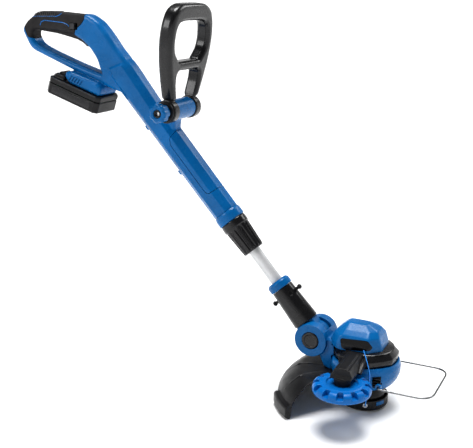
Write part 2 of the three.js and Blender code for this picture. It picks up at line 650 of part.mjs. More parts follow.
function buildMotorHousing() {
  const body = turnedRing([
    [14, 45], [49, 45], [55, 51.5], [60.5, 61], [BODY_R, 71], [BODY_R, 83], [60.5, BAND_FROM - GAP],
    [57, BAND_FROM - GAP], [BODY_R - 3.5, 82], [BODY_R - 3.5, 71.5], [52, 54], [47.5, 48.5], [14, 48.5],
  ], 36);
  const bosses = [-1, 1].map((side) => {
    const from = side < 0 ? -62 : 40;
    return rodY(5.5, from, from + 22, [WIRE_PIVOT_X, WIRE_Z], 16);
  });
  const outside = cut(join(...bosses), rodZ(BODY_R - 1.5, 40, 100, 36));
  const wireBores = rodY(WIRE_R + 0.6, -80, 80, [WIRE_PIVOT_X, WIRE_Z], 12);
  const screwBores = [-1, 1].map((side) => rodZ(2.2, 40, 60).translate([-48, side * 24, 0]));
  const vent = box(29, 44, -70, -40, 55, 79);
  const pocket = cut(vent, rodZ(BODY_R - 2, 40, 100, 36));
  const lower = cut(join(body, outside), wireBores, pocket, ...screwBores);
  addMesh(machine, 'lower_body', lower, 'blue');

  const band = turnedRing([
    [52, BAND_FROM], [BAND_R - 1.5, BAND_FROM], [BAND_R, 97], [BAND_R, 103.5], [50, 114], [32, 117],
    [32, 113], [48, 110.5], [BAND_R - 3.5, 102], [BAND_R - 3.5, 95], [52, 95],
  ], 32);
  addMesh(machine, 'motor_band', cut(band, coverSolid(GAP)), 'black');

  const seat = slab([[-34, 134], [17, 137.5], [24, 123], [-26, 114.6]], -COVER_HALF_WIDTH - 2,
    -COVER_HALF_WIDTH + 3.2);
  const inside = coverSolid(-4.5);
  const cover = cut(coverSolid(0), inside, seat);
  addMesh(machine, 'motor_cover', cover, 'blue');
  const badge = slab([[-33.4, 133.6], [16.8, 137], [23.4, 123.3], [-25.6, 115.2]], -COVER_HALF_WIDTH + 1,
    -COVER_HALF_WIDTH + 2.9, { chamfer: 0.4 });
  addMesh(machine, 'badge_plate', badge, 'black');

  const can = turned([[0, 62], [MOTOR_R, 62], [MOTOR_R, 108], [8, 108], [8, 111], [0, 111]], 32);
  const shaftHole = rodZ(3.4, 50, 75);
  addMesh(machine, 'motor', cut(can, shaftHole), 'steel');
}

// Swept skirt behind the cutting circle, with a blade holder on its near rim.
function buildGuard() {
  const outer = [[66, 65], [104, 65], [124, 61.5], [140, 49.5], [151.5, 37], [158.4, 23], [161, 0]];
  const inner = [[158.4, 0], [156, 22.4], [149.5, 35.6], [138.3, 47.6], [123, 59], [104, 62.3], [66, 62.3]];
  const whole = turnedRing([...outer, ...inner], 44);
  const reach = 400;
  const half = GUARD_HALF_ANGLE * DEG;
  const wedge = plate([
    [0, 0], [-reach * Math.cos(half), reach * Math.sin(half)], [-reach * 1.5, 0],
    [-reach * Math.cos(half), -reach * Math.sin(half)],
  ], -10, 100);
  const skirt = whole.intersect(wedge);
  const tab = turnedRing([[157.5, 1.5], [168, 4], [168, 22], [157.2, 24]], 64).intersect(plate([
    [0, 0], ...arc([0, 0], reach, 180 + GUARD_HALF_ANGLE - 24, 180 + GUARD_HALF_ANGLE - 0.5, 1),
  ], -10, 100));
  const foot = plate([[-44, -34], [-70, -34], [-70, 34], [-44, 34]], 41.5, 44.6, { chamfer: 0.8 });
  const riser = turnedRing([[64, 41.5], [68.5, 41.5], [68.5, 65], [64, 65]], 48)
    .intersect(plate([[0, 0], [-200, 105], [-200, -105]], 0, 100));
  const screwHoles = [-1, 1].map((side) => rodZ(2.2, 30, 60).translate([-48, side * 24, 0]));
  const neckRoom = slab([
    [-90, 104], [-84, 86], [-74, 65.6], [-50, 55.6], [-40, 55.6], [-40, 140],
  ], -27.6, 27.6);
  const guard = cut(join(skirt, tab, foot, riser), neckRoom, ...screwHoles);
  addMesh(machine, 'guard', guard, 'black');

  [-1, 1].forEach((side, i) => {
    const screw = join(rodZ(3.6, 38.6, 41.2, 16), rodZ(1.9, 40, 54, 12));
    addMesh(machine, `guard_screw_${i + 1}`, screw.translate([-48, side * 24, 0]), 'steel');
  });

  const blade = box(140, 155.5, -0.6, 0.6, 4, 18).rotate([0, 0, 180 - GUARD_HALF_ANGLE + 3]);
  addMesh(machine, 'line_cutter', blade, 'steel');
}

function buildWheel() {
  const [x, y] = WHEEL_CENTRE;
  const disc = turnedRing([
    [AXLE_R + 0.3, WHEEL_FROM + 2], [30, WHEEL_FROM + 2], [34, WHEEL_FROM], [46, WHEEL_FROM],
    [WHEEL_R, WHEEL_FROM + 5], [WHEEL_R, WHEEL_TO - 6], [46, WHEEL_TO - 1.5], [36, WHEEL_TO - 1.5],
    [34, WHEEL_TO], [27, WHEEL_TO], [26, WHEEL_TO - 4], [AXLE_R + 0.3, WHEEL_TO - 4],
  ], 36);
  const notches = Array.from({ length: WHEEL_NOTCHES }, (_, i) => (
    box(40.5, 56, -4.6, 4.6, WHEEL_TO - 10, WHEEL_TO + 4).rotate([0, 0, 360 * (i + 0.5) / WHEEL_NOTCHES])
  ));
  addMesh(machine, 'edge_wheel', cut(disc, ...notches).translate([x, y, 0]), 'brightBlue');

  // Bracket: an arm that runs out and down from the band to the wheel's axle.
  const across = (from, to, py, pz) => [[from, py, pz], [to, py, pz]];
  const arm = hull([
    ...across(-17, 9, -52, 118), ...across(-26, 15, -52, 99),
    ...across(-17, 8, y, 105), ...across(-25, 13, y - 9, 102),
    ...across(-25, 13, y - 10, 95.5), ...across(-25, 13, y + 14, 95.5),
  ]);
  const hub = rodZ(15, WHEEL_TO - 3.4, 97, 32).translate([x, y, 0]);
  const rib = toSolid(prism([[50, 114], [72, 109], [92, 98], [88, 93.5], [68, 96], [50, 96]], 6, { chamfer: 1 })
    .rotateX(90 * DEG).rotateZ(-90 * DEG).translate(18.6, 0, 0));
  const axleBore = rodZ(AXLE_R + 0.2, 60, 99).translate([x, y, 0]);
  const bandRoom = turned([
    [0, 60], [BODY_R + GAP, 60], [BODY_R + GAP, 84], [BAND_R + GAP, 95], [BAND_R + GAP, 104],
    [50.2, 114.6], [0, 124],
  ], 48);
  addMesh(machine, 'wheel_bracket', cut(join(arm, hub, rib), axleBore, bandRoom), 'black');

  const pin = join(rodZ(AXLE_R, WHEEL_FROM - 1, 98.5, 20), rodZ(9, WHEEL_FROM - 3.5, WHEEL_FROM - 0.5, 24));
  addMesh(machine, 'wheel_axle', pin.translate([x, y, 0]), 'steel');
}

// Steel wire that keeps plants off the line: a loop whose ends turn in to two bosses.
function buildWireGuard() {
  const bend = 6;
  const corner = 30;
  const inEnd = 53;
  const path = new THREE.CurvePath();
  const at = (px, py) => new THREE.Vector3(px, py, WIRE_Z);
  const w = WIRE_HALF_WIDTH;
  const f = WIRE_FRONT_X - WIRE_R;
  const points = [
    [WIRE_PIVOT_X, inEnd],
    ...arc([WIRE_PIVOT_X + bend, w - bend], bend, 180, 90, 3),
    ...arc([f - corner, w - corner], corner, 90, 0, 5),
    ...arc([f - corner, -w + corner], corner, 0, -90, 5),
    ...arc([WIRE_PIVOT_X + bend, -w + bend], bend, 270, 180, 3),
    [WIRE_PIVOT_X, -inEnd],
  ].map(([px, py]) => at(px, py));
  for (let i = 1; i < points.length; i += 1) path.add(new THREE.LineCurve3(points[i - 1], points[i]));
  const smooth = new THREE.CatmullRomCurve3(path.getSpacedPoints(60), false, 'centripetal');
  addMesh(machine, 'wire_guard', bar(smooth, roundSection(WIRE_R, 6), 48), 'steel');
}

const EYELET = [15.3, -41.2, 14];
const EYELET_ANGLE = Math.atan2(EYELET[1], EYELET[0]);

function buildSpool() {
  const cap = turned([
    [0, 0], [SPOOL_R - 8, 0], [SPOOL_R - 1.5, 3], [SPOOL_R, 6], [SPOOL_R, SPOOL_HEIGHT],
    [SPOOL_R - 2.4, SPOOL_HEIGHT], [SPOOL_R - 2.4, 6], [SPOOL_R - 8, 3], [0, 3],
  ], 40);
  const towards = EYELET_ANGLE / DEG;
  const eyeHole = rodY(3.5, 30, 60, [0, 0], 16).rotate([0, 0, towards - 90]).translate([0, 0, EYELET[2]]);
  addMesh(machine, 'spool_cap', cut(cap, eyeHole), 'black');

  const eyelet = cut(
    join(rodY(3.2, SPOOL_R - 4, SPOOL_R + 1, [0, 0], 16), rodY(4.4, SPOOL_R + 0.3, SPOOL_R + 1.6, [0, 0], 16)),
    rodY(1.6, 30, 60, [0, 0], 12),
  );
  addMesh(machine, 'line_eyelet', eyelet.rotate([0, 0, towards - 90]).translate([0, 0, EYELET[2]]), 'steel');

  const reel = turnedRing([
    [11, 7], [36, 7], [36, 8.6], [20, 8.6], [20, 17], [36, 17], [36, 18.6], [11, 18.6],
  ], 24);
  addMesh(machine, 'spool_reel', reel, 'black');
  addMesh(machine, 'line_winding', turnedRing([[20.3, 9], [31, 9], [31, 16.6], [20.3, 16.6]], 24), 'line');

  // Coil spring under the reel's hub.
  const turns = 2;
  const coil = Array.from({ length: turns * 12 + 1 }, (_, i) => {
    const angle = 2 * Math.PI * i / 12;
    return new THREE.Vector3(7.5 * Math.cos(angle), 7.5 * Math.sin(angle), 4.4 + 2.6 * i / 12);
  });
  const spring = bar(new THREE.CatmullRomCurve3(coil), roundSection(0.7, 6), turns * 14);
  addMesh(machine, 'spool_spring', spring, 'steel');

  const carrier = turned([
    [0, 19.2], [9, 19.2], [9, 22], [38, 22], [38, 26], [33, 40], [12, 42], [0, 42],
  ], 28);
  addMesh(machine, 'spool_carrier', cut(carrier, rodZ(3.3, 30, 60)), 'black');
  addMesh(machine, 'motor_shaft', rodZ(3, 30.3, 72, 16), 'steel');
}

// Free end of the cutting line: stiff nylon that stands up from its eyelet.
const LINE_ROUTE = [
  [16.2, -43.9, 14], [17.2, -46.8, 16], [18.4, -50, 22], [19.8, -53, 30], [21.4, -56, 39],
  [23, -58.6, 48], [24.8, -61.2, 57], [26.4, -63.6, 66], [27.6, -65.4, 75], [28, -66.6, 84],
  [26.8, -66.6, 92], [24.4, -66, 100], [21.4, -64.8, 108], [18.2, -62.8, 115], [15, -60.4, 121],
  [11.6, -57.8, 127],
];

function buildCuttingLine() {
  const route = new THREE.CatmullRomCurve3(LINE_ROUTE.map((p) => new THREE.Vector3(...p)), false, 'centripetal');
  addMesh(machine, 'cutting_line', bar(route, roundSection(LINE_R, 6), 24), 'line');
}

buildHousing();
buildControls();
buildBattery();
buildFrontHandle();
buildShaft();
buildNeck();
buildMotorHousing();
buildGuard();
buildWheel();
buildWireGuard();
buildSpool();
buildCuttingLine();

export default machine;
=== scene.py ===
"""Cordless lawn edger: the visual model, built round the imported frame.

Shapes are given in millimetres in the frames named below, and every frame is
worked out from the record's joints and mounts.
"""
import json
import math

import bmesh
import bpy
import numpy as np
from mathutils import Matrix, Vector
from mathutils.bvhtree import BVHTree


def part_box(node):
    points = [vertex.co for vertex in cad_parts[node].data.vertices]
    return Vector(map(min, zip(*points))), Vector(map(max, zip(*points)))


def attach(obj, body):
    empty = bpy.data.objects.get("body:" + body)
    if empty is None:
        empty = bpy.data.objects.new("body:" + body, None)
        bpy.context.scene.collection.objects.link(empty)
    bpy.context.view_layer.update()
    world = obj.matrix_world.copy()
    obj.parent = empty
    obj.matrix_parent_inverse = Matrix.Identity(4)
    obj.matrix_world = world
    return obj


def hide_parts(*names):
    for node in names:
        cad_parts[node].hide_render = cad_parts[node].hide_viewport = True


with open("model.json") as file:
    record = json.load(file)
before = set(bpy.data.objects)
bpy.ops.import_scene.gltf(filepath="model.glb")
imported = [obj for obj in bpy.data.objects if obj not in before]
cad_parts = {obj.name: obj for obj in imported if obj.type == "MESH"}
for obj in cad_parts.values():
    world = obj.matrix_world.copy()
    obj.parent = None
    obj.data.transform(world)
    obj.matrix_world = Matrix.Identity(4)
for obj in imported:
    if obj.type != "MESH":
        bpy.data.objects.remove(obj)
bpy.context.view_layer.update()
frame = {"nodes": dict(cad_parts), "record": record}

RECORD = frame["record"]
MM = 0.001
SCENE = bpy.context.scene
TAU = 2 * math.pi
QUARTER = math.pi / 2


# ---- frames ----

def joint(name):
    """The record's joint of that name."""
    return next(j for j in RECORD["behaviour"]["joints"] if j["name"] == name)


def mount(name):
    """The record's mount of that name."""
    return next(m for m in RECORD["mounts"] if m["name"] == name)


def axes(origin, a, b, depth):
    """Local millimetres to the row frame: two in-plane directions, a depth and an origin in metres."""
    m = Matrix.Identity(4)
    for column, direction in enumerate((a, b, depth)):
        for row in range(3):
            m[row][column] = direction[row] * MM
    for row in range(3):
        m[row][3] = origin[row]
    return m


X, Y, Z = Vector((1, 0, 0)), Vector((0, 1, 0)), Vector((0, 0, 1))
GROUND = Vector(mount("spool_foot")["pos_m"])  # on the floor under the spool axis
PIVOT = Vector(joint("head_tilt")["pos_m"])
BOSS = Vector(joint("front_handle_swing")["pos_m"])
UP_SHAFT = Vector(joint("sleeve_turn")["axis"])
RISE = Vector((UP_SHAFT.z, 0, -UP_SHAFT.x))
PACK_BACK = Vector(joint("battery_slide")["axis"])
PACK_UP = Vector((PACK_BACK.z, 0, -PACK_BACK.x))
PACK_HALF_LENGTH = 61.5
UNDERSIDE = Vector(mount("battery_underside")["pos_m"])
WHEEL_AXIS = Vector(joint("edge_wheel_spin")["pos_m"])
LOOP_LEAN = math.radians(7.1)  # the front handle's lean at rest
LOOP_UP = Vector((math.sin(LOOP_LEAN), 0, math.cos(LOOP_LEAN)))

SIDE = axes(GROUND, X, Z, Y)  # x, z of the machine, depth to the left
PLAN = axes(GROUND, X, Y, Z)  # x, y of the machine, height above the floor
SHAFT = axes(PIVOT, RISE, UP_SHAFT, Y)  # rise, station, depth
TURNED = axes(PIVOT, RISE, Y, UP_SHAFT)  # about the shaft's axis
PACK = axes(UNDERSIDE - PACK_BACK * PACK_HALF_LENGTH * MM, -PACK_BACK, PACK_UP, Y)
DRUM = axes(PIVOT, X, Z, Y)  # about the tilt axis
KNOB = axes(BOSS, X, Z, Y)  # about the front handle's bolt
LOOP = axes(BOSS, Y, LOOP_UP, Vector((LOOP_UP.z, 0, -LOOP_UP.x)))
WHEEL = axes((WHEEL_AXIS.x, WHEEL_AXIS.y, GROUND.z), X, Y, Z)


# ---- outlines ----

def fillet(points, radius, steps=4, closed=True):
    """The outline with each corner rounded; a corner may carry its own radius as a third number."""
    pts = [Vector(p[:2]) for p in points]
    radii = [p[2] if len(p) > 2 else radius for p in points]
    count = len(pts)
    sharp = 1e-4
    out = []
    for i, p in enumerate(pts):
        if not closed and i in (0, count - 1):
            out.append(tuple(p))
            continue
        back, ahead = pts[i - 1] - p, pts[(i + 1) % count] - p
        reach = min(radii[i], 0.45 * back.length, 0.45 * ahead.length)
        if reach < sharp:
            out.append(tuple(p))
            continue
        start, end = p + back.normalized() * reach, p + ahead.normalized() * reach
        for k in range(steps + 1):
            t = k / steps
            out.append(tuple((1 - t) ** 2 * start + 2 * t * (1 - t) * p + t * t * end))
    return out


def spline(points, per=6):
    """An open Catmull-Rom curve through the points, of any dimension."""
    pts = [np.array(p, float) for p in points]
    last = len(pts) - 1
    out = []
    for i in range(last):
        p0, p1, p2, p3 = (pts[min(max(i + k, 0), last)] for k in (-1, 0, 1, 2))
        for k in range(per):
            t = k / per
            out.append(0.5 * (2 * p1 + (p2 - p0) * t + (2 * p0 - 5 * p1 + 4 * p2 - p3) * t * t
                              + (3 * p1 - p0 - 3 * p2 + p3) * t ** 3))
    out.append(pts[-1])
    return [tuple(p) for p in out]


def stations(path):
    """Each point's distance along the path."""
    return np.concatenate([[0], np.cumsum(np.linalg.norm(np.diff(path, axis=0), axis=1))])


def resampled(path, count, endpoint=True):
    """The path as that many points at equal steps along it."""
    along = stations(path)
    at = np.linspace(0, along[-1], count, endpoint=endpoint)
    return np.stack([np.interp(at, along, path[:, k]) for k in range(path.shape[1])], 1)


def spread(points, pitch):
    """An open path with its points about a pitch apart."""
    path = np.array(points, float)
    return [tuple(q) for q in resampled(path, max(2, round(stations(path)[-1] / pitch) + 1))]


def smoothed(outline, pitch, passes):
    """A closed outline with its points about a pitch apart and its corners eased."""
    path = np.array([q[:2] for q in outline + outline[:1]], float)
    path = resampled(path, max(12, round(stations(path)[-1] / pitch)), endpoint=False)
    for _ in range(passes):
        path = 0.5 * path + 0.25 * (np.roll(path, 1, axis=0) + np.roll(path, -1, axis=0))
    return [tuple(q) for q in path]


def subdivided(outline, pitch):
    """A closed outline with points added about a pitch apart up its tall sides."""
    out = []
    for (x1, y1), (x2, y2) in zip(outline, outline[1:] + outline[:1]):
        parts = max(1, int(abs(y2 - y1) / pitch))
        for k in range(parts):
            t = k / parts
            out.append((x1 + (x2 - x1) * t, y1 + (y2 - y1) * t))
    return out


def grown(outline, amount):
    """A closed outline moved out along its normals, in where amount is negative."""
    if not amount:
        return [tuple(q[:2]) for q in outline]
    p = np.array([q[:2] for q in outline], float)
    back, ahead = np.roll(p, 1, axis=0), np.roll(p, -1, axis=0)
    area = 0.5 * np.sum(back[:, 0] * p[:, 1] - p[:, 0] * back[:, 1])
    normals = []
    for edge in (p - back, ahead - p):
        normals.append(np.stack([edge[:, 1], -edge[:, 0]], 1) / np.linalg.norm(edge, axis=1)[:, None])
    mitre = normals[0] + normals[1]
    mitre /= np.maximum(np.linalg.norm(mitre, axis=1), 1e-6)[:, None]
    longest = 0.4  # keeps a sharp corner's mitre short
    mitre /= np.maximum(np.einsum("ij,ij->i", mitre, normals[0]), longest)[:, None]
    return [tuple(q) for q in p + mitre * (amount if area > 0 else -amount)]


def both_sides(points):
    """An outline's right half, mirrored and joined to itself."""
    return points + [(-p[0],) + tuple(p[1:]) for p in reversed(points)]


def sided(side, near, far):
    """Two distances from the middle as depths on one side (-1 or 1), the lower first."""
    return sorted((side * near, side * far))


def rounded_rim(rim, steps):
    """The insets and depths of a rim's steps, from the face to the side."""
    if rim <= 0:
        return [(0, 0)]
    angles = [QUARTER * k / steps for k in range(steps + 1)]
    return [(rim * (1 - math.sin(angle)), rim * (1 - math.cos(angle))) for angle in angles]


# ---- meshes ----

def linked(name, data):
    """A new object in the scene that holds the data."""
    ob = bpy.data.objects.new(name, data)
    SCENE.collection.objects.link(ob)
    return ob


def mesh_object(name, verts, faces, place):
    """An object made from local points, its doubles merged and its normals made to agree."""
    mesh = bpy.data.meshes.new(name)
    mesh.from_pydata([tuple(v) for v in verts], [], faces)
    bm = bmesh.new()
    bm.from_mesh(mesh)
    bmesh.ops.remove_doubles(bm, verts=bm.verts, dist=1e-3)
    bmesh.ops.triangulate(bm, faces=[f for f in bm.faces if len(f.verts) > 4])
    bmesh.ops.recalc_face_normals(bm, faces=bm.faces)
    bm.to_mesh(mesh)
    bm.free()
    mesh.transform(place)
    if place.determinant() < 0:
        mesh.flip_normals()
    return linked(name, mesh)


def loft(name, loops, place, ring=False):
    """A closed body through equal loops of local points, capped at both ends unless it is a ring."""
    count = len(loops[0])
    faces = []
    for i in range(len(loops) if ring else len(loops) - 1):
        here, ahead = i * count, (i + 1) % len(loops) * count
        for k in range(count):
            n = (k + 1) % count
            faces.append((here + k, here + n, ahead + n, ahead + k))
    if not ring:
        faces.append(tuple(range(count)))
        faces.append(tuple(range((len(loops) - 1) * count, len(loops) * count)))
    return mesh_object(name, [v for loop in loops for v in loop], faces, place)


def slab(name, outline, lo, hi, place, rim=1.0, steps=3):
    """An outline between two depths, its two rims rounded."""
    ends = rounded_rim(rim, steps)
    loops = [[(x, y, lo + depth) for x, y in grown(outline, -inset)] for inset, depth in ends]
    loops += [[(x, y, hi - depth) for x, y in grown(outline, -inset)] for inset, depth in reversed(ends)]
    return loft(name, loops, place)


def flared(name, outline, half, rim, place):
    """A cutter through a plate whose mouth opens out by rim at both faces."""
    over = 3  # how far it runs past each face
    mouth = [(-half - over, rim + over), (-half, rim), (-half + rim * 0.35, rim * 0.42), (-half + rim, 0)]
    mouth += [(-depth, out) for depth, out in reversed(mouth)]
    return loft(name, [[(x, y, depth) for x, y in grown(outline, out)] for depth, out in mouth], place)


def revolve(name, profile, place, segs=96, shape=None, sweep=None):
    """A turned body: a closed profile of (radius, height) about the frame's depth axis.

    shape(angle, radius, height) may change a radius; sweep is a part turn in degrees, its ends closed.
    """
    start, end = sweep or (0, 360)
    steps = max(2, round(segs * (end - start) / 360))
    loops = []
    for i in range(steps + 1 if sweep else steps):
        angle = math.radians(start + (end - start) * i / steps)
        radii = [shape(angle, r, h) if shape else r for r, h in profile]
        loops.append([(r * math.cos(angle), r * math.sin(angle), h) for r, (_, h) in zip(radii, profile)])
    return loft(name, loops, place, ring=not sweep)


def rod(name, radius, lo, hi, place, centre=(0, 0), rim=0.6):
    """A round bar between two depths."""
    profile = fillet([(0, lo, 0), (radius, lo), (radius, hi), (0, hi, 0)], rim, 3)
    return revolve(name, profile, place @ Matrix.Translation((*centre, 0)), 48)


def block(name, lo, hi, place, rim=0.8):
    """A box between two corners, its edges rounded."""
    corners = [(lo[0], lo[1]), (hi[0], lo[1]), (hi[0], hi[1]), (lo[0], hi[1])]
    outline = fillet(corners, rim * 1.6, 3) if rim else corners
    return slab(name, outline, lo[2], hi[2], place, rim)


def tube(name, path, radius, place=None, sides=16):
    """A round bar along an open path of local points, or of the row's own where no place is given."""
    pts = np.array([p if place is None else tuple(place @ Vector(p)) for p in path], float)
    ahead = np.empty_like(pts)
    ahead[0], ahead[1:-1], ahead[-1] = pts[1] - pts[0], pts[2:] - pts[:-2], pts[-1] - pts[-2]
    ahead /= np.linalg.norm(ahead, axis=1)[:, None]
    normal = np.array((0.31, 0.52, 0.8))
    if abs(ahead[0] @ normal) > 0.9:
        normal = np.array((0.9, -0.3, 0.1))
    angles = [TAU * k / sides for k in range(sides)]
    loops = []
    for centre, direction in zip(pts, ahead):
        normal = normal - direction * (normal @ direction)
        normal /= np.linalg.norm(normal)
        across = np.cross(direction, normal)
        loops.append([centre / MM + radius * (normal * math.cos(a) + across * math.sin(a)) for a in angles])
    return loft(name, loops, Matrix.Scale(MM, 4))


def evaluated(ob):
    """Applies the object's modifiers to its mesh."""
    bpy.context.view_layer.update()
    graph = bpy.context.evaluated_depsgraph_get()
    mesh = bpy.data.meshes.new_from_object(ob.evaluated_get(graph))
    ob.modifiers.clear()
    ob.data = mesh
    return ob


def duplicate(ob, name):
    """A second object with its own copy of the mesh."""
    return linked(name, ob.data.copy())


def copy_of(node):
    """A free copy of a CAD node's mesh."""
    ob = duplicate(frame["nodes"][node], node + "_copy")
    ob.data.materials.clear()
    return ob


def joined(name, parts):
    """One object in place of several, their shells kept apart."""
    bm = bmesh.new()
    for part in parts:
        bm.from_mesh(part.data)
    mesh = bpy.data.meshes.new(name)
    bm.to_mesh(mesh)
    bm.free()
    for part in parts:
        bpy.data.objects.remove(part)
    return linked(name, mesh)


def soften(ob, voxel, passes):
    """Fuses a body's shells on a fine grid and rounds its edges."""
    remesh = ob.modifiers.new("fuse", "REMESH")
    remesh.mode = "VOXEL"
    remesh.voxel_size = voxel * MM
    smooth = ob.modifiers.new("round", "SMOOTH")
    smooth.iterations = passes
    return evaluated(ob)


def swollen(ob, amount):
    """Moves a body's surface out along its normals."""
    grow = ob.modifiers.new("grow", "DISPLACE")
    grow.strength = amount * MM
    grow.mid_level = 0
    return evaluated(ob)


def carve(ob, *tools, keep="DIFFERENCE"):
    """Cuts each tool from the object in turn, or keeps their union or intersection, and drops the tools."""
    for tool in tools:
        cutting = ob.modifiers.new("cut", "BOOLEAN")
        cutting.operation = keep
        cutting.solver = "MANIFOLD"
        cutting.object = tool
        evaluated(ob)
        bpy.data.objects.remove(tool)
    return ob


def hull_of(ob):
    """Replaces a mesh by its convex hull."""
    bm = bmesh.new()
    for v in ob.data.vertices:
        bm.verts.new(v.co)
    found = bmesh.ops.convex_hull(bm, input=bm.verts)
    spare = {*found["geom_interior"], *found["geom_unused"], *(v for v in bm.verts if not v.link_faces)}
    bmesh.ops.delete(bm, geom=[v for v in spare if isinstance(v, bmesh.types.BMVert)], context="VERTS")
    bmesh.ops.recalc_face_normals(bm, faces=bm.faces)
    mesh = bpy.data.meshes.new("hull")
    bm.to_mesh(mesh)
    bm.free()
    ob.data = mesh
    return ob


def skin_of(ob):
    """A mesh's surface, for casting rays at."""
    return BVHTree.FromPolygons([v.co for v in ob.data.vertices], [p.vertices[:] for p in ob.data.polygons])


def piece(ob, name, body, material, *nodes, crease=32, slot=None):
    """Names a finished piece, shades it, and rides it on its body in place of CAD nodes."""
    ob.name = name
    ob.data.name = name
    ob.data.materials.clear()
    ob.data.materials.append(material)
    for polygon in ob.data.polygons:
        polygon.use_smooth = True
        polygon.material_index = 0
    ob.data.set_sharp_from_angle(angle=math.radians(crease))
    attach(ob, body)
    if nodes:
        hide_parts(*nodes)
    return ob


# ---- camera, and the free line, which comes first ----

CAMERA_PLACE = GROUND + Vector((421.88, -1450.73, 748.33)) * MM
CAMERA_TARGET = GROUND + Vector((-266.03, 0, 306.40)) * MM
CAMERA_ROLL = math.radians(0.8227)
CAMERA_LENS = 67.158  # on a sensor 36 mm wide


def build_camera():
    """Three-quarter view from the machine's right and a little above its grip."""
    ahead = (CAMERA_TARGET - CAMERA_PLACE).normalized()
    level = ahead.cross(Z).normalized()
    upright = level.cross(ahead)
    right = level * math.cos(CAMERA_ROLL) + upright * math.sin(CAMERA_ROLL)
    up = upright * math.cos(CAMERA_ROLL) - level * math.sin(CAMERA_ROLL)
    data = bpy.data.cameras.new("camera")
    data.sensor_width = 36
    data.lens = CAMERA_LENS
    data.clip_end = 200
    camera = linked("camera", data)
    turn = Matrix((right, up, -ahead)).transposed().to_4x4()
    camera.matrix_world = Matrix.Translation(CAMERA_PLACE) @ turn
    SCENE.camera = camera


# Stiff nylon: it stands up from its eyelet, past the bracket, with a slow bend.
LINE_ROUTE = [
    (16.2, -43.9, 14), (17.2, -46.8, 16), (18.4, -50, 22), (19.8, -53, 30), (21.4, -56, 39),
    (23, -58.6, 48), (24.8, -61.2, 57), (26.4, -63.6, 66), (27.6, -65.4, 75), (28, -66.6, 84),
    (26.8, -66.6, 92), (24.4, -66, 100), (21.4, -64.8, 108), (18.2, -62.8, 115),
    (15, -60.4, 121), (11.6, -57.8, 127),
]
LINE_DIAMETER = 1.8


def build_line():
    """The free end of the cutting line, which stands up from the spool's eyelet."""
    route = [PLAN @ Vector(p) for p in spline(LINE_ROUTE)]
    curve = bpy.data.curves.new("free_line", "CURVE")
    curve.dimensions = "3D"
    curve.bevel_depth = LINE_DIAMETER / 2 * MM
    curve.bevel_resolution = 4
    curve.use_fill_caps = True
    strand = curve.splines.new("POLY")
    strand.points.add(len(route) - 1)
    for point, place in zip(strand.points, route):
        point.co = (*place, 1)
    line = linked("free_line", curve)
    curve.materials.append(NYLON)
    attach(line, "spool")
    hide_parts("cutting_line")


# ---- materials ----

CLOUDS, SMUDGES = 14, 45  # noise scales, in cycles a metre
SHARP_EDGES = (0.56, 0.7)  # the pointiness at which wear begins and is full


def new_material(name):
    """A node material, with its nodes and links."""
    material = bpy.data.materials.new(name)
    material.use_nodes = True
    return material, material.node_tree.nodes, material.node_tree.links


def add_noise(nodes, links, scale, detail, stretch=None):
    """Noise in the object's space, turned and stretched where a rotation and a scale are given."""
    where = nodes.new("ShaderNodeTexCoord").outputs["Object"]
    noise = nodes.new("ShaderNodeTexNoise")
    noise.inputs["Scale"].default_value = scale
    noise.inputs["Detail"].default_value = detail
    noise.inputs["Roughness"].default_value = 0.55
    if stretch:
        mapping = nodes.new("ShaderNodeMapping")
        mapping.inputs["Rotation"].default_value = stretch[0]
        mapping.inputs["Scale"].default_value = stretch[1]
        links.new(where, mapping.inputs["Vector"])
        where = mapping.outputs["Vector"]
    links.new(where, noise.inputs["Vector"])
    return noise.outputs["Fac"]


def add_ramp(nodes, links, source, low, high, at=(0.35, 0.65)):
    """A colour ramp between two colours, over part of the source's range."""
    ramp = nodes.new("ShaderNodeValToRGB")
    for element, position, colour in zip(ramp.color_ramp.elements, at, (low, high)):
        element.position = position
        element.color = colour
    links.new(source, ramp.inputs["Fac"])
    return ramp.outputs["Color"]


def add_bump(nodes, links, source, strength, distance):
    """Fine relief on the material's shader; the distance is in metres."""
    bump = nodes.new("ShaderNodeBump")
    bump.inputs["Strength"].default_value = strength
    bump.inputs["Distance"].default_value = distance
    links.new(source, bump.inputs["Height"])
    links.new(bump.outputs["Normal"], nodes["Principled BSDF"].inputs["Normal"])


def grey(v):
    """A grey as a colour."""
    return (v, v, v, 1)


def shades(colour, tint):
    """The colour made darker and lighter by the tint."""
    return [tuple(min(1, c * scale) for c in colour) + (1,) for scale in (1 - tint, 1 + tint)]


def plastic(name, colour, rough, grain=1400, depth=0.00004, coat=0.0, tint=0.12, worn=0.16, specular=0.5):
    """Moulded plastic: fine grain, faint cloudy colour, handled patches and paler worn edges."""
    material, nodes, links = new_material(name)
    shader = nodes["Principled BSDF"]
    shader.inputs["Coat Weight"].default_value = coat
    shader.inputs["Coat Roughness"].default_value = 0.12
    shader.inputs["Specular IOR Level"].default_value = specular
    base = add_ramp(nodes, links, add_noise(nodes, links, CLOUDS, 5), *shades(colour, tint))
    geometry = nodes.new("ShaderNodeNewGeometry")
    edge = add_ramp(nodes, links, geometry.outputs["Pointiness"], grey(0), grey(worn), SHARP_EDGES)
    wear = nodes.new("ShaderNodeMix")
    wear.data_type = "RGBA"
    wear.inputs["B"].default_value = tuple(min(1, 0.35 * c + 0.28) for c in colour) + (1,)
    links.new(edge, wear.inputs["Factor"])
    links.new(base, wear.inputs["A"])
    links.new(wear.outputs["Result"], shader.inputs["Base Color"])
    smudge = add_noise(nodes, links, SMUDGES, 6)
    gloss = add_ramp(nodes, links, smudge, grey(rough * 0.82), grey(min(1, rough * 1.2)))
    links.new(gloss, shader.inputs["Roughness"])
    add_bump(nodes, links, add_noise(nodes, links, grain, 2), 0.5, depth)
    return material


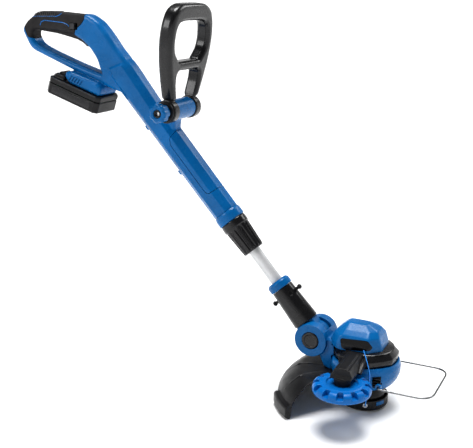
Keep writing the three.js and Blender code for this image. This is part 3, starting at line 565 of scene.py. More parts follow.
def metal(name, colour, rough, stretch=None, scale=300, tint=0.08, metallic=1.0):
    """Metal with drawn or brushed streaks, uneven gloss and faint handling marks."""
    material, nodes, links = new_material(name)
    shader = nodes["Principled BSDF"]
    shader.inputs["Metallic"].default_value = metallic
    streak = add_noise(nodes, links, scale, 3, stretch)
    links.new(add_ramp(nodes, links, streak, *shades(colour, tint)), shader.inputs["Base Color"])
    gloss = add_ramp(nodes, links, streak, grey(rough * 0.75), grey(min(1, rough * 1.3)))
    links.new(gloss, shader.inputs["Roughness"])
    add_bump(nodes, links, streak, 0.35, 0.00003)
    return material


ALONG_SHAFT = ((0, math.atan2(UP_SHAFT.x, UP_SHAFT.z), 0), (6, 6, 0.25))
BLUE = plastic("blue_plastic", (0.0008, 0.107, 0.3), 0.27, coat=0.05, specular=0.22)
BRIGHT_BLUE = plastic("bright_blue_plastic", (0.0006, 0.125, 0.4), 0.28, coat=0.05, specular=0.22)
BLACK = plastic("black_plastic", (0.0065, 0.0065, 0.0075), 0.38, grain=1800, depth=0.00007, tint=0.25,
                worn=0.06, specular=0.3)
SATIN_BLACK = plastic("satin_black_plastic", (0.007, 0.007, 0.008), 0.26, coat=0.25, tint=0.2,
                      worn=0.06, specular=0.3)
GLOSS_BLACK = plastic("gloss_black_plastic", (0.002, 0.002, 0.003), 0.2, coat=0.15, worn=0.02,
                      specular=0.2)
PLATE_BLACK = plastic("plate_plastic", (0.012, 0.012, 0.014), 0.24, coat=0.2, worn=0.05, specular=0.3)
KEY_BLACK = plastic("key_plastic", (0.03, 0.03, 0.033), 0.45, worn=0.1, specular=0.3)
RUBBER = plastic("black_rubber", (0.014, 0.013, 0.014), 0.6, grain=900, depth=0.00012, tint=0.2,
                 worn=0.08, specular=0.25)
# Paler than the grip's rubber: the lighter colour is a painted highlight on the rib tops; the lower
# roughness is real gloss.
GLOSSY_RIBS_PAINTED_HIGHLIGHT = plastic("glossy_ribs_painted_highlight", (0.02, 0.02, 0.022), 0.34, worn=0.1, specular=0.5)
ALUMINIUM = metal("aluminium_tube", (0.56, 0.565, 0.575), 0.42, ALONG_SHAFT, 160, metallic=0.45)
STEEL = metal("steel", (0.56, 0.57, 0.58), 0.24, scale=420)
WIRE_STEEL = metal("wire_steel", (0.2, 0.205, 0.21), 0.22, scale=600, tint=0.2)
BRASS = metal("brass_contacts", (0.74, 0.52, 0.22), 0.32)
CELL_WRAP = plastic("cell_wrap", (0.02, 0.22, 0.13), 0.4)
NYLON = plastic("nylon_line", (0.03, 0.27, 0.78), 0.3, grain=2500, depth=0.00002, worn=0)

# The record's material slots; a CAD piece takes the first material of its slot.
SLOTS = [
    ("blue_plastic", BLUE), ("bright_blue_plastic", BRIGHT_BLUE), ("black_plastic", BLACK),
    ("gloss_black_plastic", GLOSS_BLACK), ("black_rubber", RUBBER), ("aluminium_tube", ALUMINIUM),
    ("steel", STEEL), ("brass_contacts", BRASS), ("cell_wrap", CELL_WRAP), ("nylon_line", NYLON),
    ("black_plastic", SATIN_BLACK), ("gloss_black_plastic", PLATE_BLACK), ("black_rubber", KEY_BLACK),
    ("black_rubber", GLOSSY_RIBS_PAINTED_HIGHLIGHT), ("steel", WIRE_STEEL),
]
FIRST_IN = dict(reversed(SLOTS))


# ---- main housing ----

ARM = [(-22.5, 270), (-23.5, 400), (-23.8, 622), (-15, 650), (27, 634), (29, 616), (24, 528),
       (23.5, 468), (22.5, 270)]
ARM_HALF = 23
HANDLE = [
    (-646, 686), (-600, 683), (-587, 684), (-577, 681.5), (-557, 670), (-543, 656), (-527, 637),
    (-515, 621), (-501, 607), (-475, 572), (-482, 536), (-512, 540), (-530, 545), (-560, 555),
    (-637, 583), (-711, 610.5), (-719, 617), (-731, 638), (-737, 651), (-725, 667), (-699, 685),
]
OPENING = [
    (-713, 640), (-710, 651), (-658, 651), (-635, 648), (-612, 643), (-594, 634), (-575, 618),
    (-563, 602), (-559, 594), (-556, 583), (-549, 571.5), (-607, 588), (-670, 609.5), (-696, 620),
    (-706, 627),
]
HANDLE_HALF = 18
DOCK = [(-78, 33.4), (-6.5, 33.2), (-5, 43), (-9, 52.5), (-17, 57.5), (-85, 56), (-92, 51), (-91, 42)]
DOCK_HALF = 30
PANEL = [(-85, 43.5), (-86.5, 50), (-80, 54), (-17, 54.6), (-11, 50), (-10, 43), (-14, 36.5), (-76, 36.5)]
PANEL_THICKNESS = 3.4
WEB = [(15, 459), (15, 537), (36, 515), (52, 499), (52, 483), (34, 477)]
WEB_HALF = 15
BOSS_END = [(18.6, -32.6), (19.5, -30), (19.5, 30), (18.6, 32.6)]
SCREW_FEET = (400, 508)  # stations of the two nubs behind the arm
COVER = [(1, 336), (1, 446), (8, 458), (22, 463), (40, 463), (40, 329), (20, 329), (4, 330)]
PAD = [
    (-724, 669), (-730, 655), (-722, 637), (-708, 633), (-690, 650), (-612, 640), (-606, 655),
    (-594, 664), (-586, 674), (-587, 695), (-735, 695),
]
TRIGGER_SLOT = [
    (-703, 640), (-703, 660), (-655, 668), (-600, 668), (-586, 660), (-574, 644), (-571, 628),
    (-571, 600), (-620, 600), (-690, 630),
]
SEAM = 0.5  # half of the line between two mouldings


def body_form():
    """The whole housing as one smooth solid: arm, looped handle, dock, web and boss."""
    arm = slab("arm", fillet(ARM, 9, 3), -ARM_HALF, ARM_HALF, SHAFT, 12, 1)
    handle = slab("handle", smoothed(HANDLE, 3, 5), -HANDLE_HALF, HANDLE_HALF, SIDE, 7.5, 2)
    carve(handle, flared("opening", smoothed(OPENING, 2.5, 4), HANDLE_HALF, 6, SIDE))
    dock = slab("dock", fillet(DOCK, 4, 3), -DOCK_HALF, DOCK_HALF, PACK, 3.5, 2)
    panels = [slab("panel", fillet(PANEL, 2.5, 3), lo, lo + PANEL_THICKNESS, PACK, 1.2, 2)
              for lo in (-DOCK_HALF - 1.4, DOCK_HALF - 2)]
    web = slab("web", fillet(WEB, 6, 3), -WEB_HALF, WEB_HALF, SHAFT, 5, 2)
    middle = [(0, BOSS_END[0][1], 0), *BOSS_END, (0, BOSS_END[-1][1], 0)]
    boss = revolve("boss", fillet(middle, 1.5), KNOB)
    feet = [block("foot", (-31, s - 5.2, -4.5), (-18, s + 5.2, 4.5), SHAFT, 1.2) for s in SCREW_FEET]
    return soften(joined("body", [arm, handle, dock, *panels, web, boss, *feet]), 0.95, 7)


def dock_slots():
    """Cutters for the slanted finger slots in the dock's side panels."""
    pitch, width, foot, top, slant = 6.4, 2.7, 40, 50.6, 4.4
    slots = []
    for side in (-1, 1):
        lo, hi = sided(side, DOCK_HALF - 0.6, DOCK_HALF + 4)
        for i in range(5):
            x = -79.5 + pitch * i
            outline = [(x, foot), (x + width, foot), (x + width + slant, top), (x + slant, top)]
            slots.append(slab("slot", fillet(outline, 0.9, 3), lo, hi, PACK, 0))
    return joined("slots", slots)


def edge_lines():
    """Cutters for the fine line down each side of the arm's back edge."""
    lines = []
    for side in (-1, 1):
        lo, hi = sided(side, 17, 40)
        lines.append(block("line", (-15.2, 396, lo), (-13.9, 596, hi), SHAFT, 0))
    return lines


def screw_ways():
    """Cutters over the heads of the housing's screws."""
    ways = []
    for i in range(4):
        lo, hi = (Vector(corner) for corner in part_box(f"housing_screw_{i + 1}"))
        head = ((lo + hi) / 2 - GROUND) / MM
        ways.append(rod("screw_way", 4.1, 12.2, 40, SIDE, (head.x, head.z)))
    return ways


def build_housing():
    """The housing, cut into its blue shell, rubber grip and front panel."""
    body = body_form()
    slot = slab("slot", TRIGGER_SLOT, -9.7, 9.7, SIDE, 0)
    key_way = block("key_way", (-620, 653.5, -30), (-602, 666.5, -9.5), SIDE, 0.6)
    bolt_way = rod("bolt_way", 4.4, -60, 60, KNOB)
    groove = block("groove", (-130, 0, -23.6), (-9, 43.6, 23.6), PACK, 0.5)
    end = block("end", (-60, 240, -60), (60, 285, 60), SHAFT, 0)
    tube_way = rod("tube_way", 14, 280, 300, TURNED)
    carve(body, slot, key_way, bolt_way, groove, end, tube_way, *edge_lines(), dock_slots(), *screw_ways())

    pads = duplicate(body, "pads")
    cover = duplicate(body, "cover")
    pad_outline, cover_outline = fillet(PAD, 2.5, 3), fillet(COVER, 3, 3)
    past = 40  # a depth outside the housing
    carve(pads, slab("pad_area", grown(pad_outline, -SEAM), -past, past, SIDE, 0), keep="INTERSECT")
    carve(cover, slab("cover_area", grown(cover_outline, -SEAM), -past, past, SHAFT, 0), keep="INTERSECT")
    carve(body, slab("pad_area", grown(pad_outline, SEAM), -past - 1, past + 1, SIDE, 0),
          slab("cover_area", grown(cover_outline, SEAM), -past - 1, past + 1, SHAFT, 0),
          block("seam", (-760, 300, -0.22), (-250, 720, 0.22), SIDE, 0.05))
    piece(body, "housing", "main_housing", BLUE, "housing_left", "housing_right")
    build_grip_ribs(skin_of(pads))
    build_grip_trim(skin_of(pads))
    piece(pads, "grip_overmould", "main_housing", RUBBER, "grip_pad_left", "grip_pad_right")
    piece(cover, "front_panel", "main_housing", BLUE, "shaft_cover")


def build_grip_ribs(skin):
    """Raised cross ribs on the top of the rear grip, laid on its skin."""
    first, pitch, reach = -703, 4.8, 72
    ribs = []
    for i in range(11):
        path = []
        for degrees in range(-reach, reach + 1, 12):
            angle = math.radians(degrees)
            out = Vector((0, math.sin(angle), math.cos(angle)))
            start = SIDE @ Vector((first + pitch * i, 670, 0)) + out * 60 * MM
            hit = skin.ray_cast(start, -out)[0]
            if hit:
                path.append(hit + out * 0.1 * MM)
        if len(path) > 4:
            ribs.append(tube("rib", path, 1.35, sides=10))
    # The ribs take the paler rubber, a painted highlight on their tops.
    piece(joined("ribs", ribs), "grip_ribs", "main_housing", GLOSSY_RIBS_PAINTED_HIGHLIGHT)


def build_grip_trim(skin):
    """Thin blue lines let into both sides of the grip."""
    upper = [(-706.5, 675.4), (-699, 676.6), (-650, 677.6), (-644, 680), (-639.5, 683.4)]
    lower = [(-690, 659.5), (-687, 666.5), (-679.5, 669.5), (-636, 666.5), (-626, 663.5), (-621.8, 659.5)]
    lines = []
    for side in (-1, 1):
        for path in (upper, lower):
            points = []
            for x, z in fillet(spread(path, 2), 3, 3, closed=False):
                start = SIDE @ Vector((x, z, side * 60))
                hit = skin.ray_cast(start, Vector((0, -side, 0)))[0]
                points.append((x, z, (hit.y / MM if hit else side * 17) - side * 0.2))
            lines.append(tube("trim", points, 0.8, SIDE, sides=10))
    piece(joined("trim", lines), "grip_trim_lines", "main_housing", BRIGHT_BLUE, slot="blue_plastic")


# CAD pieces that only want their edges rounded: piece, body, material, node, grid and passes.
ROUNDED = [
    ("trigger_strip", "trigger", RUBBER, "trigger", 0.6, 5),
    ("lock_key", "lock_off", KEY_BLACK, "lock_off_button", 0.4, 3),
    ("battery_tray", "battery_pack", BLACK, "battery_base", 0.8, 4),
    ("battery_lid", "battery_pack", BLACK, "battery_top", 0.75, 4),
    ("battery_latch", "battery_release", SATIN_BLACK, "battery_release_button", 0.4, 3),
]


def build_controls_and_battery():
    """The trigger, the lock-off key, and the battery's case with its release button."""
    for name, body, material, node, voxel, passes in ROUNDED:
        piece(soften(copy_of(node), voxel, passes), name, body, material, node)


def build_battery_plates():
    """Blank plates on the battery's two sides."""
    outline = fillet([(-108, 5), (-16, 5), (-16, 17.5), (-108, 17.5)], 2.5, 4)
    thickness, half_width = 1.2, 38
    plates = []
    for side in (-1, 1):
        lo = side * half_width - thickness / 2
        plates.append(slab("plate", outline, lo, lo + thickness, PACK, 0.4))
    piece(joined("plates", plates), "battery_blank_plates", "battery_pack", PLATE_BLACK)


# ---- front handle ----

LOOP_OUTER = [
    (50, 20), (56, 36), (64, 56), (76, 92), (82, 128), (79, 160), (68, 184), (48, 194.5), (24, 196),
]
UPPER_WINDOW = [
    (30, 92, 4), (38, 92, 9), (57, 112, 9), (61, 128), (58, 150), (50, 161), (30, 165),
]
LOWER_WINDOW = [(33, -40, 1), (33, 18), (43, 52), (44, 68, 8), (36, 76, 8), (14, 76, 4)]
LOOP_HALF = 14
LEG_INSIDE, LEG_OUTSIDE = 33, 50  # the rings at the feet of the handle's two legs
BOLT_BORE = 4.3


def build_front_handle():
    """The looped front handle with its crossbar, and the rings that clasp the boss."""
    outer = slab("outer", fillet(both_sides(LOOP_OUTER), 22, 6), -LOOP_HALF, LOOP_HALF, LOOP, 9, 4)
    carve(outer, flared("upper", fillet(both_sides(UPPER_WINDOW), 14, 5), LOOP_HALF, 6.5, LOOP),
          flared("lower", fillet(both_sides(LOWER_WINDOW), 12, 5), LOOP_HALF, 5, LOOP))
    rings = []
    for side in (-1, 1):
        lo, hi = sided(side, LEG_INSIDE, LEG_OUTSIDE)
        profile = fillet([(BOLT_BORE, lo, 0), (21.5, lo), (21.5, hi), (BOLT_BORE, hi, 0)], 1.6)
        rings.append(revolve("ring", profile, KNOB))
    handle = soften(joined("loop", [outer, *rings]), 0.9, 5)
    carve(handle, block("gap", (-40, -30, 0.1 - LEG_INSIDE), (40, 19.9, LEG_INSIDE - 0.1), KNOB, 0.2))
    piece(handle, "auxiliary_handle", "front_handle", SATIN_BLACK, "front_handle")


KNOB_BASE = -61  # the star knob's lobes begin beyond this depth


def knob_lobes(angle, r, h):
    """Seven hollows between the star knob's lobes."""
    if r < 12 or h > KNOB_BASE:
        return r
    hollow = (0.5 - 0.5 * math.cos(7 * angle)) ** 1.6
    return r - 2.0 * hollow * min(1, (KNOB_BASE - h) / 2)


def build_clamp_knob():
    """The friction washer, the star knob, and a black ring in the knob's mouth that paints the shade of its
    recess.
    """
    washer = revolve("washer", fillet([(4.5, -55), (19, -55), (19, -50.3), (4.5, -50.3)], 1.2), KNOB)
    piece(washer, "friction_washer", "star_knob", BLACK, "knob_washer")
    profile = [(BOLT_BORE, -55.3, 0), (13, -55.3), (13.4, KNOB_BASE, 0.5), (17.5, -63.5), (17.5, -79),
               (15, -82), (9, -82), (7.5, -80), (7.5, -74), (BOLT_BORE, -74, 0)]
    knob = revolve("knob", fillet(profile, 1.3), KNOB, 140, knob_lobes)
    piece(knob, "clamp_knob", "star_knob", BLUE, "star_knob")
    # A black ring in the knob's recess round the bolt: painted shade of the recess, not a real insert.
    profile = [(BOLT_BORE, -76), (7.4, -76), (7.4, -80.4), (6.4, -81), (BOLT_BORE, -80.4)]
    dark_fill = revolve("dark_fill", fillet(profile, 0.4), KNOB)
    piece(dark_fill, "knob_recess_painted_shade", "star_knob", BLACK)


# ---- shaft ----

TUBE_BORE, TUBE_RADIUS = 10.3, 11.5
NUT_FLUTES = 12
NUT_FOOT, NUT_SHOULDER = 196, 249  # stations between which the flutes run
PIN_STATION = 91


def nut_flutes(angle, r, h):
    """Round-bottomed flutes down the twist collar, which fade out at both ends."""
    if r < 18 or h > NUT_SHOULDER:
        return r
    turn = (angle / TAU * NUT_FLUTES) % 1
    groove = max(0, 1 - (abs(turn - 0.5) / 0.2) ** 2)
    fade = min(1, max(0, (NUT_SHOULDER - h) / 3), max(0, (h - NUT_FOOT - 1) / 3))
    return r - 1.9 * math.sqrt(groove) * fade


def build_collars():
    """The blue collar at the arm's end and the fluted twist collar below it."""
    profile = [(12.1, 264.6), (25.5, 264.6), (27, 266.6), (27, 279.6), (25, 284.6), (12.1, 284.6)]
    collar = revolve("collar", fillet(profile, 1.4), TURNED)
    piece(collar, "arm_end_collar", "main_housing", BLUE, "end_collar")
    profile = [(12, NUT_FOOT, 0), (19.8, NUT_FOOT), (21, 198), (24.3, 249.2), (26, 251.2), (26, 262.2),
               (25, 264.2), (12, 264.2, 0)]
    nut = revolve("nut", subdivided(fillet(profile, 0.9), 3), TURNED, 192, nut_flutes)
    piece(nut, "clamp_collar", "twist_collar", SATIN_BLACK, "twist_collar")


def build_tube():
    """The telescopic tube and the blue release ring at the top of its socket."""
    profile = [(TUBE_BORE, 40), (TUBE_RADIUS, 40), (TUBE_RADIUS, 545), (TUBE_BORE, 545)]
    pole = revolve("pole", fillet(profile, 0.3, 2), TURNED)
    piece(pole, "telescopic_tube", "shaft_tube", ALUMINIUM, "shaft_tube")
    profile = [(12, 108), (22.8, 108), (22.8, 119.5), (19, 124), (12, 124)]
    ring = revolve("ring", fillet(profile, 1.2), TURNED)
    piece(ring, "tube_release_ring", "release_ring", BLUE, "release_ring")


def pin_axis(side):
    """A frame about the pins' axis, whose depth runs forwards (1) or backwards (-1)."""
    return SHAFT @ Matrix.Translation((0, PIN_STATION, 0)) @ Matrix.Rotation(QUARTER * side, 4, "Y")


def build_sleeve():
    """The tapered socket with its key way and pins, and the knuckle of the tilt joint."""
    profile = [(11.8, 37.6, 0), (8, 37.6, 0), (8, 31.6, 0), (24.8, 31.6), (21.2, 107.6), (11.8, 107.6, 0)]
    sleeve = revolve("sleeve", fillet(profile, 1.0), TURNED, 128)
    aside = TURNED @ Matrix.Rotation(math.radians(-41), 4, "Z")
    key = block("key", (19.4, -4, 86), (30, 4, 95), aside, 0.8)
    way = [(0, 10), (3.4, 10), (3.4, 40), (0, 40)]
    carve(sleeve, key, *(revolve("pin_way", way, pin_axis(side), 32) for side in (-1, 1)))
    piece(sleeve, "tube_socket", "sleeve", SATIN_BLACK, "lower_sleeve")

    profile = [(0, 14.5, 0), (3, 14.5), (3, 28.6), (4.8, 30), (4.8, 33), (3.2, 35), (0, 35, 0)]
    for node, side in (("sleeve_pin_front", 1), ("sleeve_pin_rear", -1)):
        pin = revolve(node + "_form", fillet(profile, 0.9), pin_axis(side), 40)
        piece(pin, node + "_cap", "sleeve", BLACK, node)

    centre = revolve("centre", fillet([(5, -12.5, 0), (26, -12.5), (26, 12.5), (5, 12.5, 0)], 1.4), DRUM)
    stem = block("stem", (-20, 10, -12.5), (20, 31.3, 12.5), SHAFT, 1.5)
    knuckle = soften(joined("knuckle", [centre, stem]), 0.6, 4)
    piece(knuckle, "tilt_knuckle", "sleeve", BLUE, "pivot_knuckle")


# ---- head ----

CHEEK_INSIDE, CHEEK_OUTSIDE, CHEEK_FLOOR = 13.1, 33, 24
INDEX_SLOTS = 12


def build_neck():
    """The head's neck with its two round cheeks, and the button in the right one."""
    cheeks = []
    for side, pocket in ((-1, 16.4), (1, 5.4)):
        inner, outer, floor = side * CHEEK_INSIDE, side * CHEEK_OUTSIDE, side * CHEEK_FLOOR
        profile = [(5, inner, 0), (30.9, inner, 0.6), (30.9, outer, 3), (pocket + 2, outer, 1.5),
                   (pocket, outer - side * 2, 1), (pocket, floor, 0.5), (5, floor, 0)]
        cheeks.append(revolve("cheek", fillet(profile, 1), DRUM, 128))
    neck = soften(joined("neck", [copy_of("neck_left"), copy_of("neck_right"), *cheeks]), 0.75, 4)
    carve(neck, revolve("pocket", [(0, -40), (16.6, -40), (16.6, -22.4), (0, -22.4)], DRUM))
    for i in range(INDEX_SLOTS):
        turn = DRUM @ Matrix.Rotation(TAU * i / INDEX_SLOTS, 4, "Z")
        carve(neck, block("index", (-1.5, 26.2, 31.4), (1.5, 29.2, 36), turn, 0.3))
    piece(neck, "head_neck", "head", BLUE, "neck_left", "neck_right")

    profile = [(0, -27, 0), (16, -27), (16, -33.4), (14.4, -34.6), (11.5, -34.4, 0.6), (10.5, -33.6, 0.6),
               (0, -33.9, 0)]
    cap = revolve("button", fillet(profile, 0.9), DRUM)
    piece(cap, "tilt_release", "pivot_button", SATIN_BLACK, "pivot_button")


WIRE_EYE = (42, 63.6)  # where the wire guard turns, in SIDE
SLATS = 4


def build_body():
    """The lower shell with the wire guard's two ears, and the slats in its vent."""
    profile = [(14, 45, 0), (49, 45), (55, 51.5), (60.5, 61), (63.5, 71), (63.5, 83), (60.5, 91.7, 1),
               (57, 91.7, 1), (60, 82), (60, 71.5), (52, 54), (47.5, 48.5), (14, 48.5, 0)]
    shell = revolve("shell", fillet(profile, 3), PLAN, 144)
    ears = [rod("ear", 5.5, *sided(side, 56, 62), SIDE, WIRE_EYE, 1.2) for side in (-1, 1)]
    carve(shell, block("vent", (29, -70, 55), (44, -47, 79), PLAN, 1))
    carve(shell, *ears, keep="UNION")
    carve(shell, rod("wire_way", 2.2, -80, 80, SIDE, WIRE_EYE, 0.1))
    piece(shell, "lower_shell", "head", BLUE, "lower_body")

    parts = [block("back", (29.6, -49.4, 55.6), (43.4, -47.6, 78.4), PLAN, 0.4)]
    for i in range(SLATS):
        z = 59 + 5 * i
        parts.append(block("slat", (29.8, -54.5 + 0.25 * i, z), (43.2, -47.8, z + 1.6), PLAN, 0.4))
    piece(joined("slats", parts), "vent_slats", "head", BLACK)


EIGHTH = TAU / 8
FLATNESS = 0.55  # 0 for a round band, 1 for an eight-sided one


def band_facets(angle, r, h):
    """Draws the band's outside in towards eight flat faces."""
    if r < 45 or h > 113:
        return r
    turn = (angle + EIGHTH / 2) % EIGHTH - EIGHTH / 2
    flat = math.cos(EIGHTH / 2) / math.cos(turn)
    return r * (1 - FLATNESS + FLATNESS * flat)


def build_band():
    """The black band between the lower shell and the motor hood."""
    profile = [(52, 92, 0), (58.5, 92), (59.8, 97), (59.8, 103.5), (50, 114), (32, 117), (32, 113, 0),
               (48, 110.5, 0), (56, 102, 0), (56, 95, 0), (52, 95, 0)]
    band = revolve("band", fillet(profile, 1.8), PLAN, 144, band_facets)
    carve(band, swollen(hull_of(copy_of("motor_cover")), 0.6))
    piece(band, "shroud_band", "head", SATIN_BLACK, "motor_band")


BADGE = [(-38, 133.5), (13, 137), (21.5, 124.5), (18, 120.5), (-27, 114), (-34, 117.5)]


def build_cover():
    """The faceted motor hood and the blank badge let into its right side."""
    form = soften(hull_of(copy_of("motor_cover")), 1.1, 30)
    about = PLAN @ Matrix.Translation((-12, 0, 112))
    regrown = Matrix.Diagonal((1.005, 1.01, 1.03, 1))  # makes good what the rounding took off
    form.data.transform(about @ regrown @ about.inverted())
    badge = swollen(duplicate(form, "badge"), 0.5)
    outline = fillet(BADGE, 4.5, 5)
    carve(badge, slab("badge_area", outline, -60, -34, SIDE, 0), keep="INTERSECT")
    carve(form, block("room", (-80, -60, 90), (80, 60, 112.3), PLAN, 0),
          slab("seat", grown(outline, 0.3), -60, -37.5, SIDE, 0))
    piece(form, "motor_hood", "head", BLUE, "motor_cover", crease=40)
    piece(badge, "blank_badge", "head", GLOSS_BLACK, "badge_plate")


GUARD_HALF_ANGLE = 53
GUARD_OUTSIDE = [(64, 65, 1), (104, 65), (124, 61.5), (140, 49.5), (151.5, 37), (158.4, 23), (161, 3),
                 (161.8, 0, 0.5)]
GUARD_INSIDE = [(158.2, 0, 0.5), (158.4, 3), (156, 22.4), (149.5, 35.6), (138.3, 47.6), (123, 59),
                (104, 62.3), (64, 62.3, 0.5)]
GUARD_RIB = [(70, 65.3), (104, 65.3), (124, 61.9), (139.6, 50.1), (150.8, 37.7), (157.6, 23.9),
             (156.4, 23.9), (148, 36.3), (137, 48.3), (122, 59.9), (104, 64.1), (70, 64.1)]


def behind(first, last):
    """A sweep about the spool's axis, in degrees from straight back."""
    return (180 + first, 180 + last)


def build_guard():
    """The debris guard: a flared skirt with fine ribs, a lip at one end, and its foot under the body."""
    skirt = revolve("skirt", fillet(GUARD_OUTSIDE + GUARD_INSIDE, 9), PLAN, 220,
                    sweep=behind(-GUARD_HALF_ANGLE, GUARD_HALF_ANGLE))
    profile = [(64, 41.5), (68.5, 41.5), (68.5, 64), (64, 64)]
    riser = revolve("riser", profile, PLAN, 128, sweep=behind(-27, 27))
    foot = slab("foot", fillet([(-44, -34), (-68, -34), (-68, 34), (-44, 34)], 3), 41.5, 44.6, PLAN, 0.8)
    profile = [(156.5, 1), (163.5, 0.6), (168, 4), (168, 21), (165, 25), (157, 25.5)]
    lip = revolve("lip", fillet(profile, 1.5), PLAN, 220,
                  sweep=behind(GUARD_HALF_ANGLE - 24, GUARD_HALF_ANGLE - 0.5))
    ribs = [revolve("rib", GUARD_RIB, PLAN, 720, sweep=behind(angle - 0.6, angle + 0.6))
            for angle in (-36, -12, 12, 36)]
    guard = soften(joined("guard", [skirt, riser, foot, lip, *ribs]), 1.0, 4)
    room = [(-90, 104), (-84, 86), (-74, 65.6), (-50, 55.6), (-40, 55.6), (-40, 140)]
    holes = [rod("hole", 2.2, 30, 60, PLAN, (-48, side * 24), 0.1) for side in (-1, 1)]
    carve(guard, slab("neck_room", room, -27.6, 27.6, SIDE, 0), *holes)
    piece(guard, "debris_guard", "head", BLACK, "guard")


WHEEL_POCKETS = 12


def build_wheel():
    """The edging wheel, with pockets round its rim."""
    profile = [(4.3, 68.6, 0), (30, 68.6), (34, 66.6), (45, 66.6), (50.4, 70), (51.4, 74), (51.4, 79.5),
               (49.6, 83.4), (45.4, 86.4), (37.5, 87), (35, 87.9), (28, 87.9, 0.6), (26.6, 84.6, 0.6),
               (17, 84.2), (15, 83.9), (4.3, 83.9, 0)]
    wheel = revolve("wheel", fillet(profile, 1.2, 3), WHEEL, 256)
    outline = fillet([(39, -4.2), (49, -5.7), (60, -6.4), (60, 6.4), (49, 5.7), (39, 4.2)], 1, 3)
    pockets = []
    for i in range(WHEEL_POCKETS):
        turn = WHEEL @ Matrix.Rotation(TAU * (i + 0.5) / WHEEL_POCKETS, 4, "Z")
        pockets.append(slab("pocket", outline, 76.8, 95, turn, 0))
    carve(wheel, joined("pockets", pockets))
    piece(soften(wheel, 0.55, 3), "edging_wheel", "edge_wheel", BRIGHT_BLUE, "edge_wheel")


def arm_bar(middle, half, rise):
    """A tapered bar along the top of the wheel's arm, falling towards the wheel."""
    corners = []
    for y, top, foot in ((-56, 118, 100), (-125, 113.5, 101)):
        for side in (-1, 1):
            corners.append((middle + side * half, y, top + rise))
            corners.append((middle + side * (half + 5), y, foot))
    return hull_of(mesh_object("bar", corners, [], PLAN))


def build_wheel_arm():
    """The arm from the band to the wheel's axle, with a raised strip along it."""
    base = block("base", (-33, -62, 95.5), (-20, -51, 109), PLAN, 1.6)
    parts = [copy_of("wheel_bracket"), arm_bar(-4.5, 13.5, 0), arm_bar(-4.5, 7.5, 2), base]
    arm = soften(joined("bracket", parts), 0.6, 2)
    piece(arm, "wheel_arm", "head", BLACK, "wheel_bracket", crease=40)


WIRE_RADIUS = 1.75


def build_wire():
    """The plant guard: one bent wire whose two ends turn in to the shell's ears."""
    lo, hi = (Vector(c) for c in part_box("wire_guard"))
    half = hi.y / MM - WIRE_RADIUS
    front = (hi.x - GROUND.x) / MM - WIRE_RADIUS
    height = ((lo.z + hi.z) / 2 - GROUND.z) / MM
    back, inside = WIRE_EYE[0], 53
    right = [(back, inside, 0), (back, half, 6), (front, half, 30)]
    corners = right + [(x, -y, radius) for x, y, radius in reversed(right)]
    path = [(x, y, height) for x, y in fillet(corners, 6, 12, closed=False)]
    wire = tube("wire", path, WIRE_RADIUS, PLAN, sides=20)
    piece(wire, "plant_guard_wire", "wire_guard", WIRE_STEEL, "wire_guard")


EYELET = LINE_ROUTE[0]
EYELET_ANGLE = math.atan2(EYELET[1], EYELET[0])
CAP_RADIUS = 43.75


def cap_grip(angle, radius, h):
    """Sixty fine ribs round the spool cap, left smooth by the eyelet."""
    away = abs((angle - EYELET_ANGLE + math.pi) % TAU - math.pi)
    if radius < 42 or not 6.5 < h < 15.5 or away < 0.24:
        return radius
    return radius - 0.55 * (0.5 + 0.5 * math.cos(60 * angle))


def build_spool():
    """The spool's cap with its latch and eyelet, and the hub inside."""
    r = CAP_RADIUS
    profile = [(0, 0, 0), (35.75, 0), (42.25, 3), (r, 6), (r, 8), (r, 14.5), (r, 21.4), (41.35, 21.4),
               (41.35, 6), (35.75, 3), (0, 3, 0)]
    cap = revolve("cap", fillet(profile, 0.9), PLAN, 480, cap_grip)
    out = Vector((math.cos(EYELET_ANGLE), math.sin(EYELET_ANGLE), 0))
    height = Vector((0, 0, EYELET[2]))
    carve(cap, tube("eye_way", [out * 30 + height, out * 60 + height], 3.45, PLAN, sides=32))
    piece(cap, "bump_cap", "spool", BLACK, "spool_cap")

    profile = [(43, 11.5), (44.2, 12), (44.2, 19), (43, 19.5)]
    tab = revolve("tab", fillet(profile, 0.4), PLAN, 360, sweep=(-42, -19))
    piece(tab, "cap_latch", "spool", BLUE)

    outwards = Matrix.Rotation(EYELET_ANGLE, 4, "Z") @ Matrix.Rotation(QUARTER, 4, "Y")
    profile = [(1.6, r - 4), (3.2, r - 4), (3.2, r + 0.3, 0), (4.4, r + 0.3), (4.4, r + 1.6),
               (1.6, r + 1.6)]
    ring = revolve("eye", fillet(profile, 0.5), PLAN @ Matrix.Translation(height) @ outwards, 48)
    piece(ring, "eyelet_ring", "spool", STEEL, "line_eyelet")

    profile = [(0, 19.2, 0), (9, 19.2), (9, 22), (38, 22), (38, 26), (33, 40), (12, 42), (3.2, 42, 0),
               (3.2, 30, 0), (0, 30, 0)]
    hub = revolve("carrier", fillet(profile, 1.2), PLAN)
    piece(hub, "spool_hub", "spool", BLACK, "spool_carrier")


# ---- CAD pieces that stay as they are ----

def finish_carried_nodes():
    """Gives each CAD piece that is still seen its material and a fine bevel."""
    slots = {s["node"]: s["material_slot"] for s in RECORD["subparts"]}
    for name, ob in frame["nodes"].items():
        if ob.hide_render:
            continue
        material = FIRST_IN[slots[name]]
        if ob.material_slots:
            for entry in ob.material_slots:
                entry.material = material
        else:
            ob.data.materials.append(material)
        bevel = ob.modifiers.new("edge", "BEVEL")
        bevel.width = 0.25 * MM
        bevel.segments = 2
        bevel.limit_method = "ANGLE"
        bevel.angle_limit = math.radians(40)


# ---- studio ----

FLOOR_HALF = 70000
FLOOR_DROP = 0.4  # keeps the floor clear of the spool's cap


def aim(ob, direction):
    """Turns a lamp to shine along a direction."""
    ob.rotation_euler = Vector(direction).to_track_quat("-Z", "Y").to_euler()


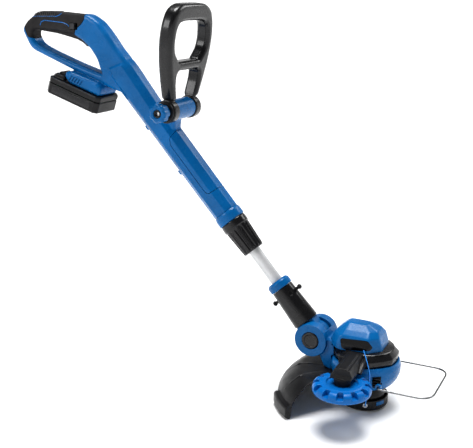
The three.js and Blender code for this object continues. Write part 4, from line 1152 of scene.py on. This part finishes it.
def area_light(name, place, target, size, power):
    """A rectangular lamp at a place in metres, aimed at a target."""
    data = bpy.data.lights.new(name, "AREA")
    data.shape = "RECTANGLE"
    data.size, data.size_y = size
    data.energy = power
    light = linked(name, data)
    light.location = place
    aim(light, target - Vector(place))


def build_floor():
    """A pale floor under the spool, as far as the horizon."""
    material, nodes, links = new_material("studio_floor")
    shader = nodes["Principled BSDF"]
    shader.inputs["Roughness"].default_value = 0.85
    tone = add_ramp(nodes, links, add_noise(nodes, links, 2.0, 3), grey(0.88), grey(0.92))
    links.new(tone, shader.inputs["Base Color"])
    far = FLOOR_HALF
    height = Matrix.Translation((0, 0, GROUND.z - FLOOR_DROP * MM))
    floor = mesh_object("floor", [(-far, -far, 0), (far, -far, 0), (far, far, 0), (-far, far, 0)],
                        [(0, 1, 2, 3)], height @ Matrix.Scale(MM, 4))
    floor.data.materials.append(material)


def build_lights():
    """A soft overhead sun and two side lamps."""
    sun = bpy.data.lights.new("overhead", "SUN")
    sun.energy = 3.3
    sun.angle = math.radians(32)
    aim(linked("overhead", sun), (0.06, -0.1, -1))
    middle = GROUND + Vector((-0.3, 0, 0.4))
    area_light("key", (-1.1, -2.0, 1.1), middle, (1.1, 0.9), 22)
    area_light("rim", (1.3, 1.6, 1.2), middle, (1.4, 0.8), 16)


def build_world():
    """White at the horizon, for the backdrop, and grey overhead."""
    world = bpy.data.worlds.new("studio")
    world.use_nodes = True
    nodes, links = world.node_tree.nodes, world.node_tree.links
    split = nodes.new("ShaderNodeSeparateXYZ")
    links.new(nodes.new("ShaderNodeTexCoord").outputs["Generated"], split.inputs["Vector"])
    sky = add_ramp(nodes, links, split.outputs["Z"], grey(1), grey(0.16), (0.16, 0.4))
    links.new(sky, nodes["Background"].inputs["Color"])
    SCENE.world = world
    SCENE.view_settings.view_transform = "Standard"
    SCENE.view_settings.look = "Medium High Contrast"


build_camera()
build_line()
build_housing()
build_controls_and_battery()
build_battery_plates()
build_front_handle()
build_clamp_knob()
build_collars()
build_tube()
build_sleeve()
build_neck()
build_body()
build_band()
build_cover()
build_guard()
build_wheel()
build_wheel_arm()
build_wire()
build_spool()
finish_carried_nodes()
build_floor()
build_lights()
build_world()
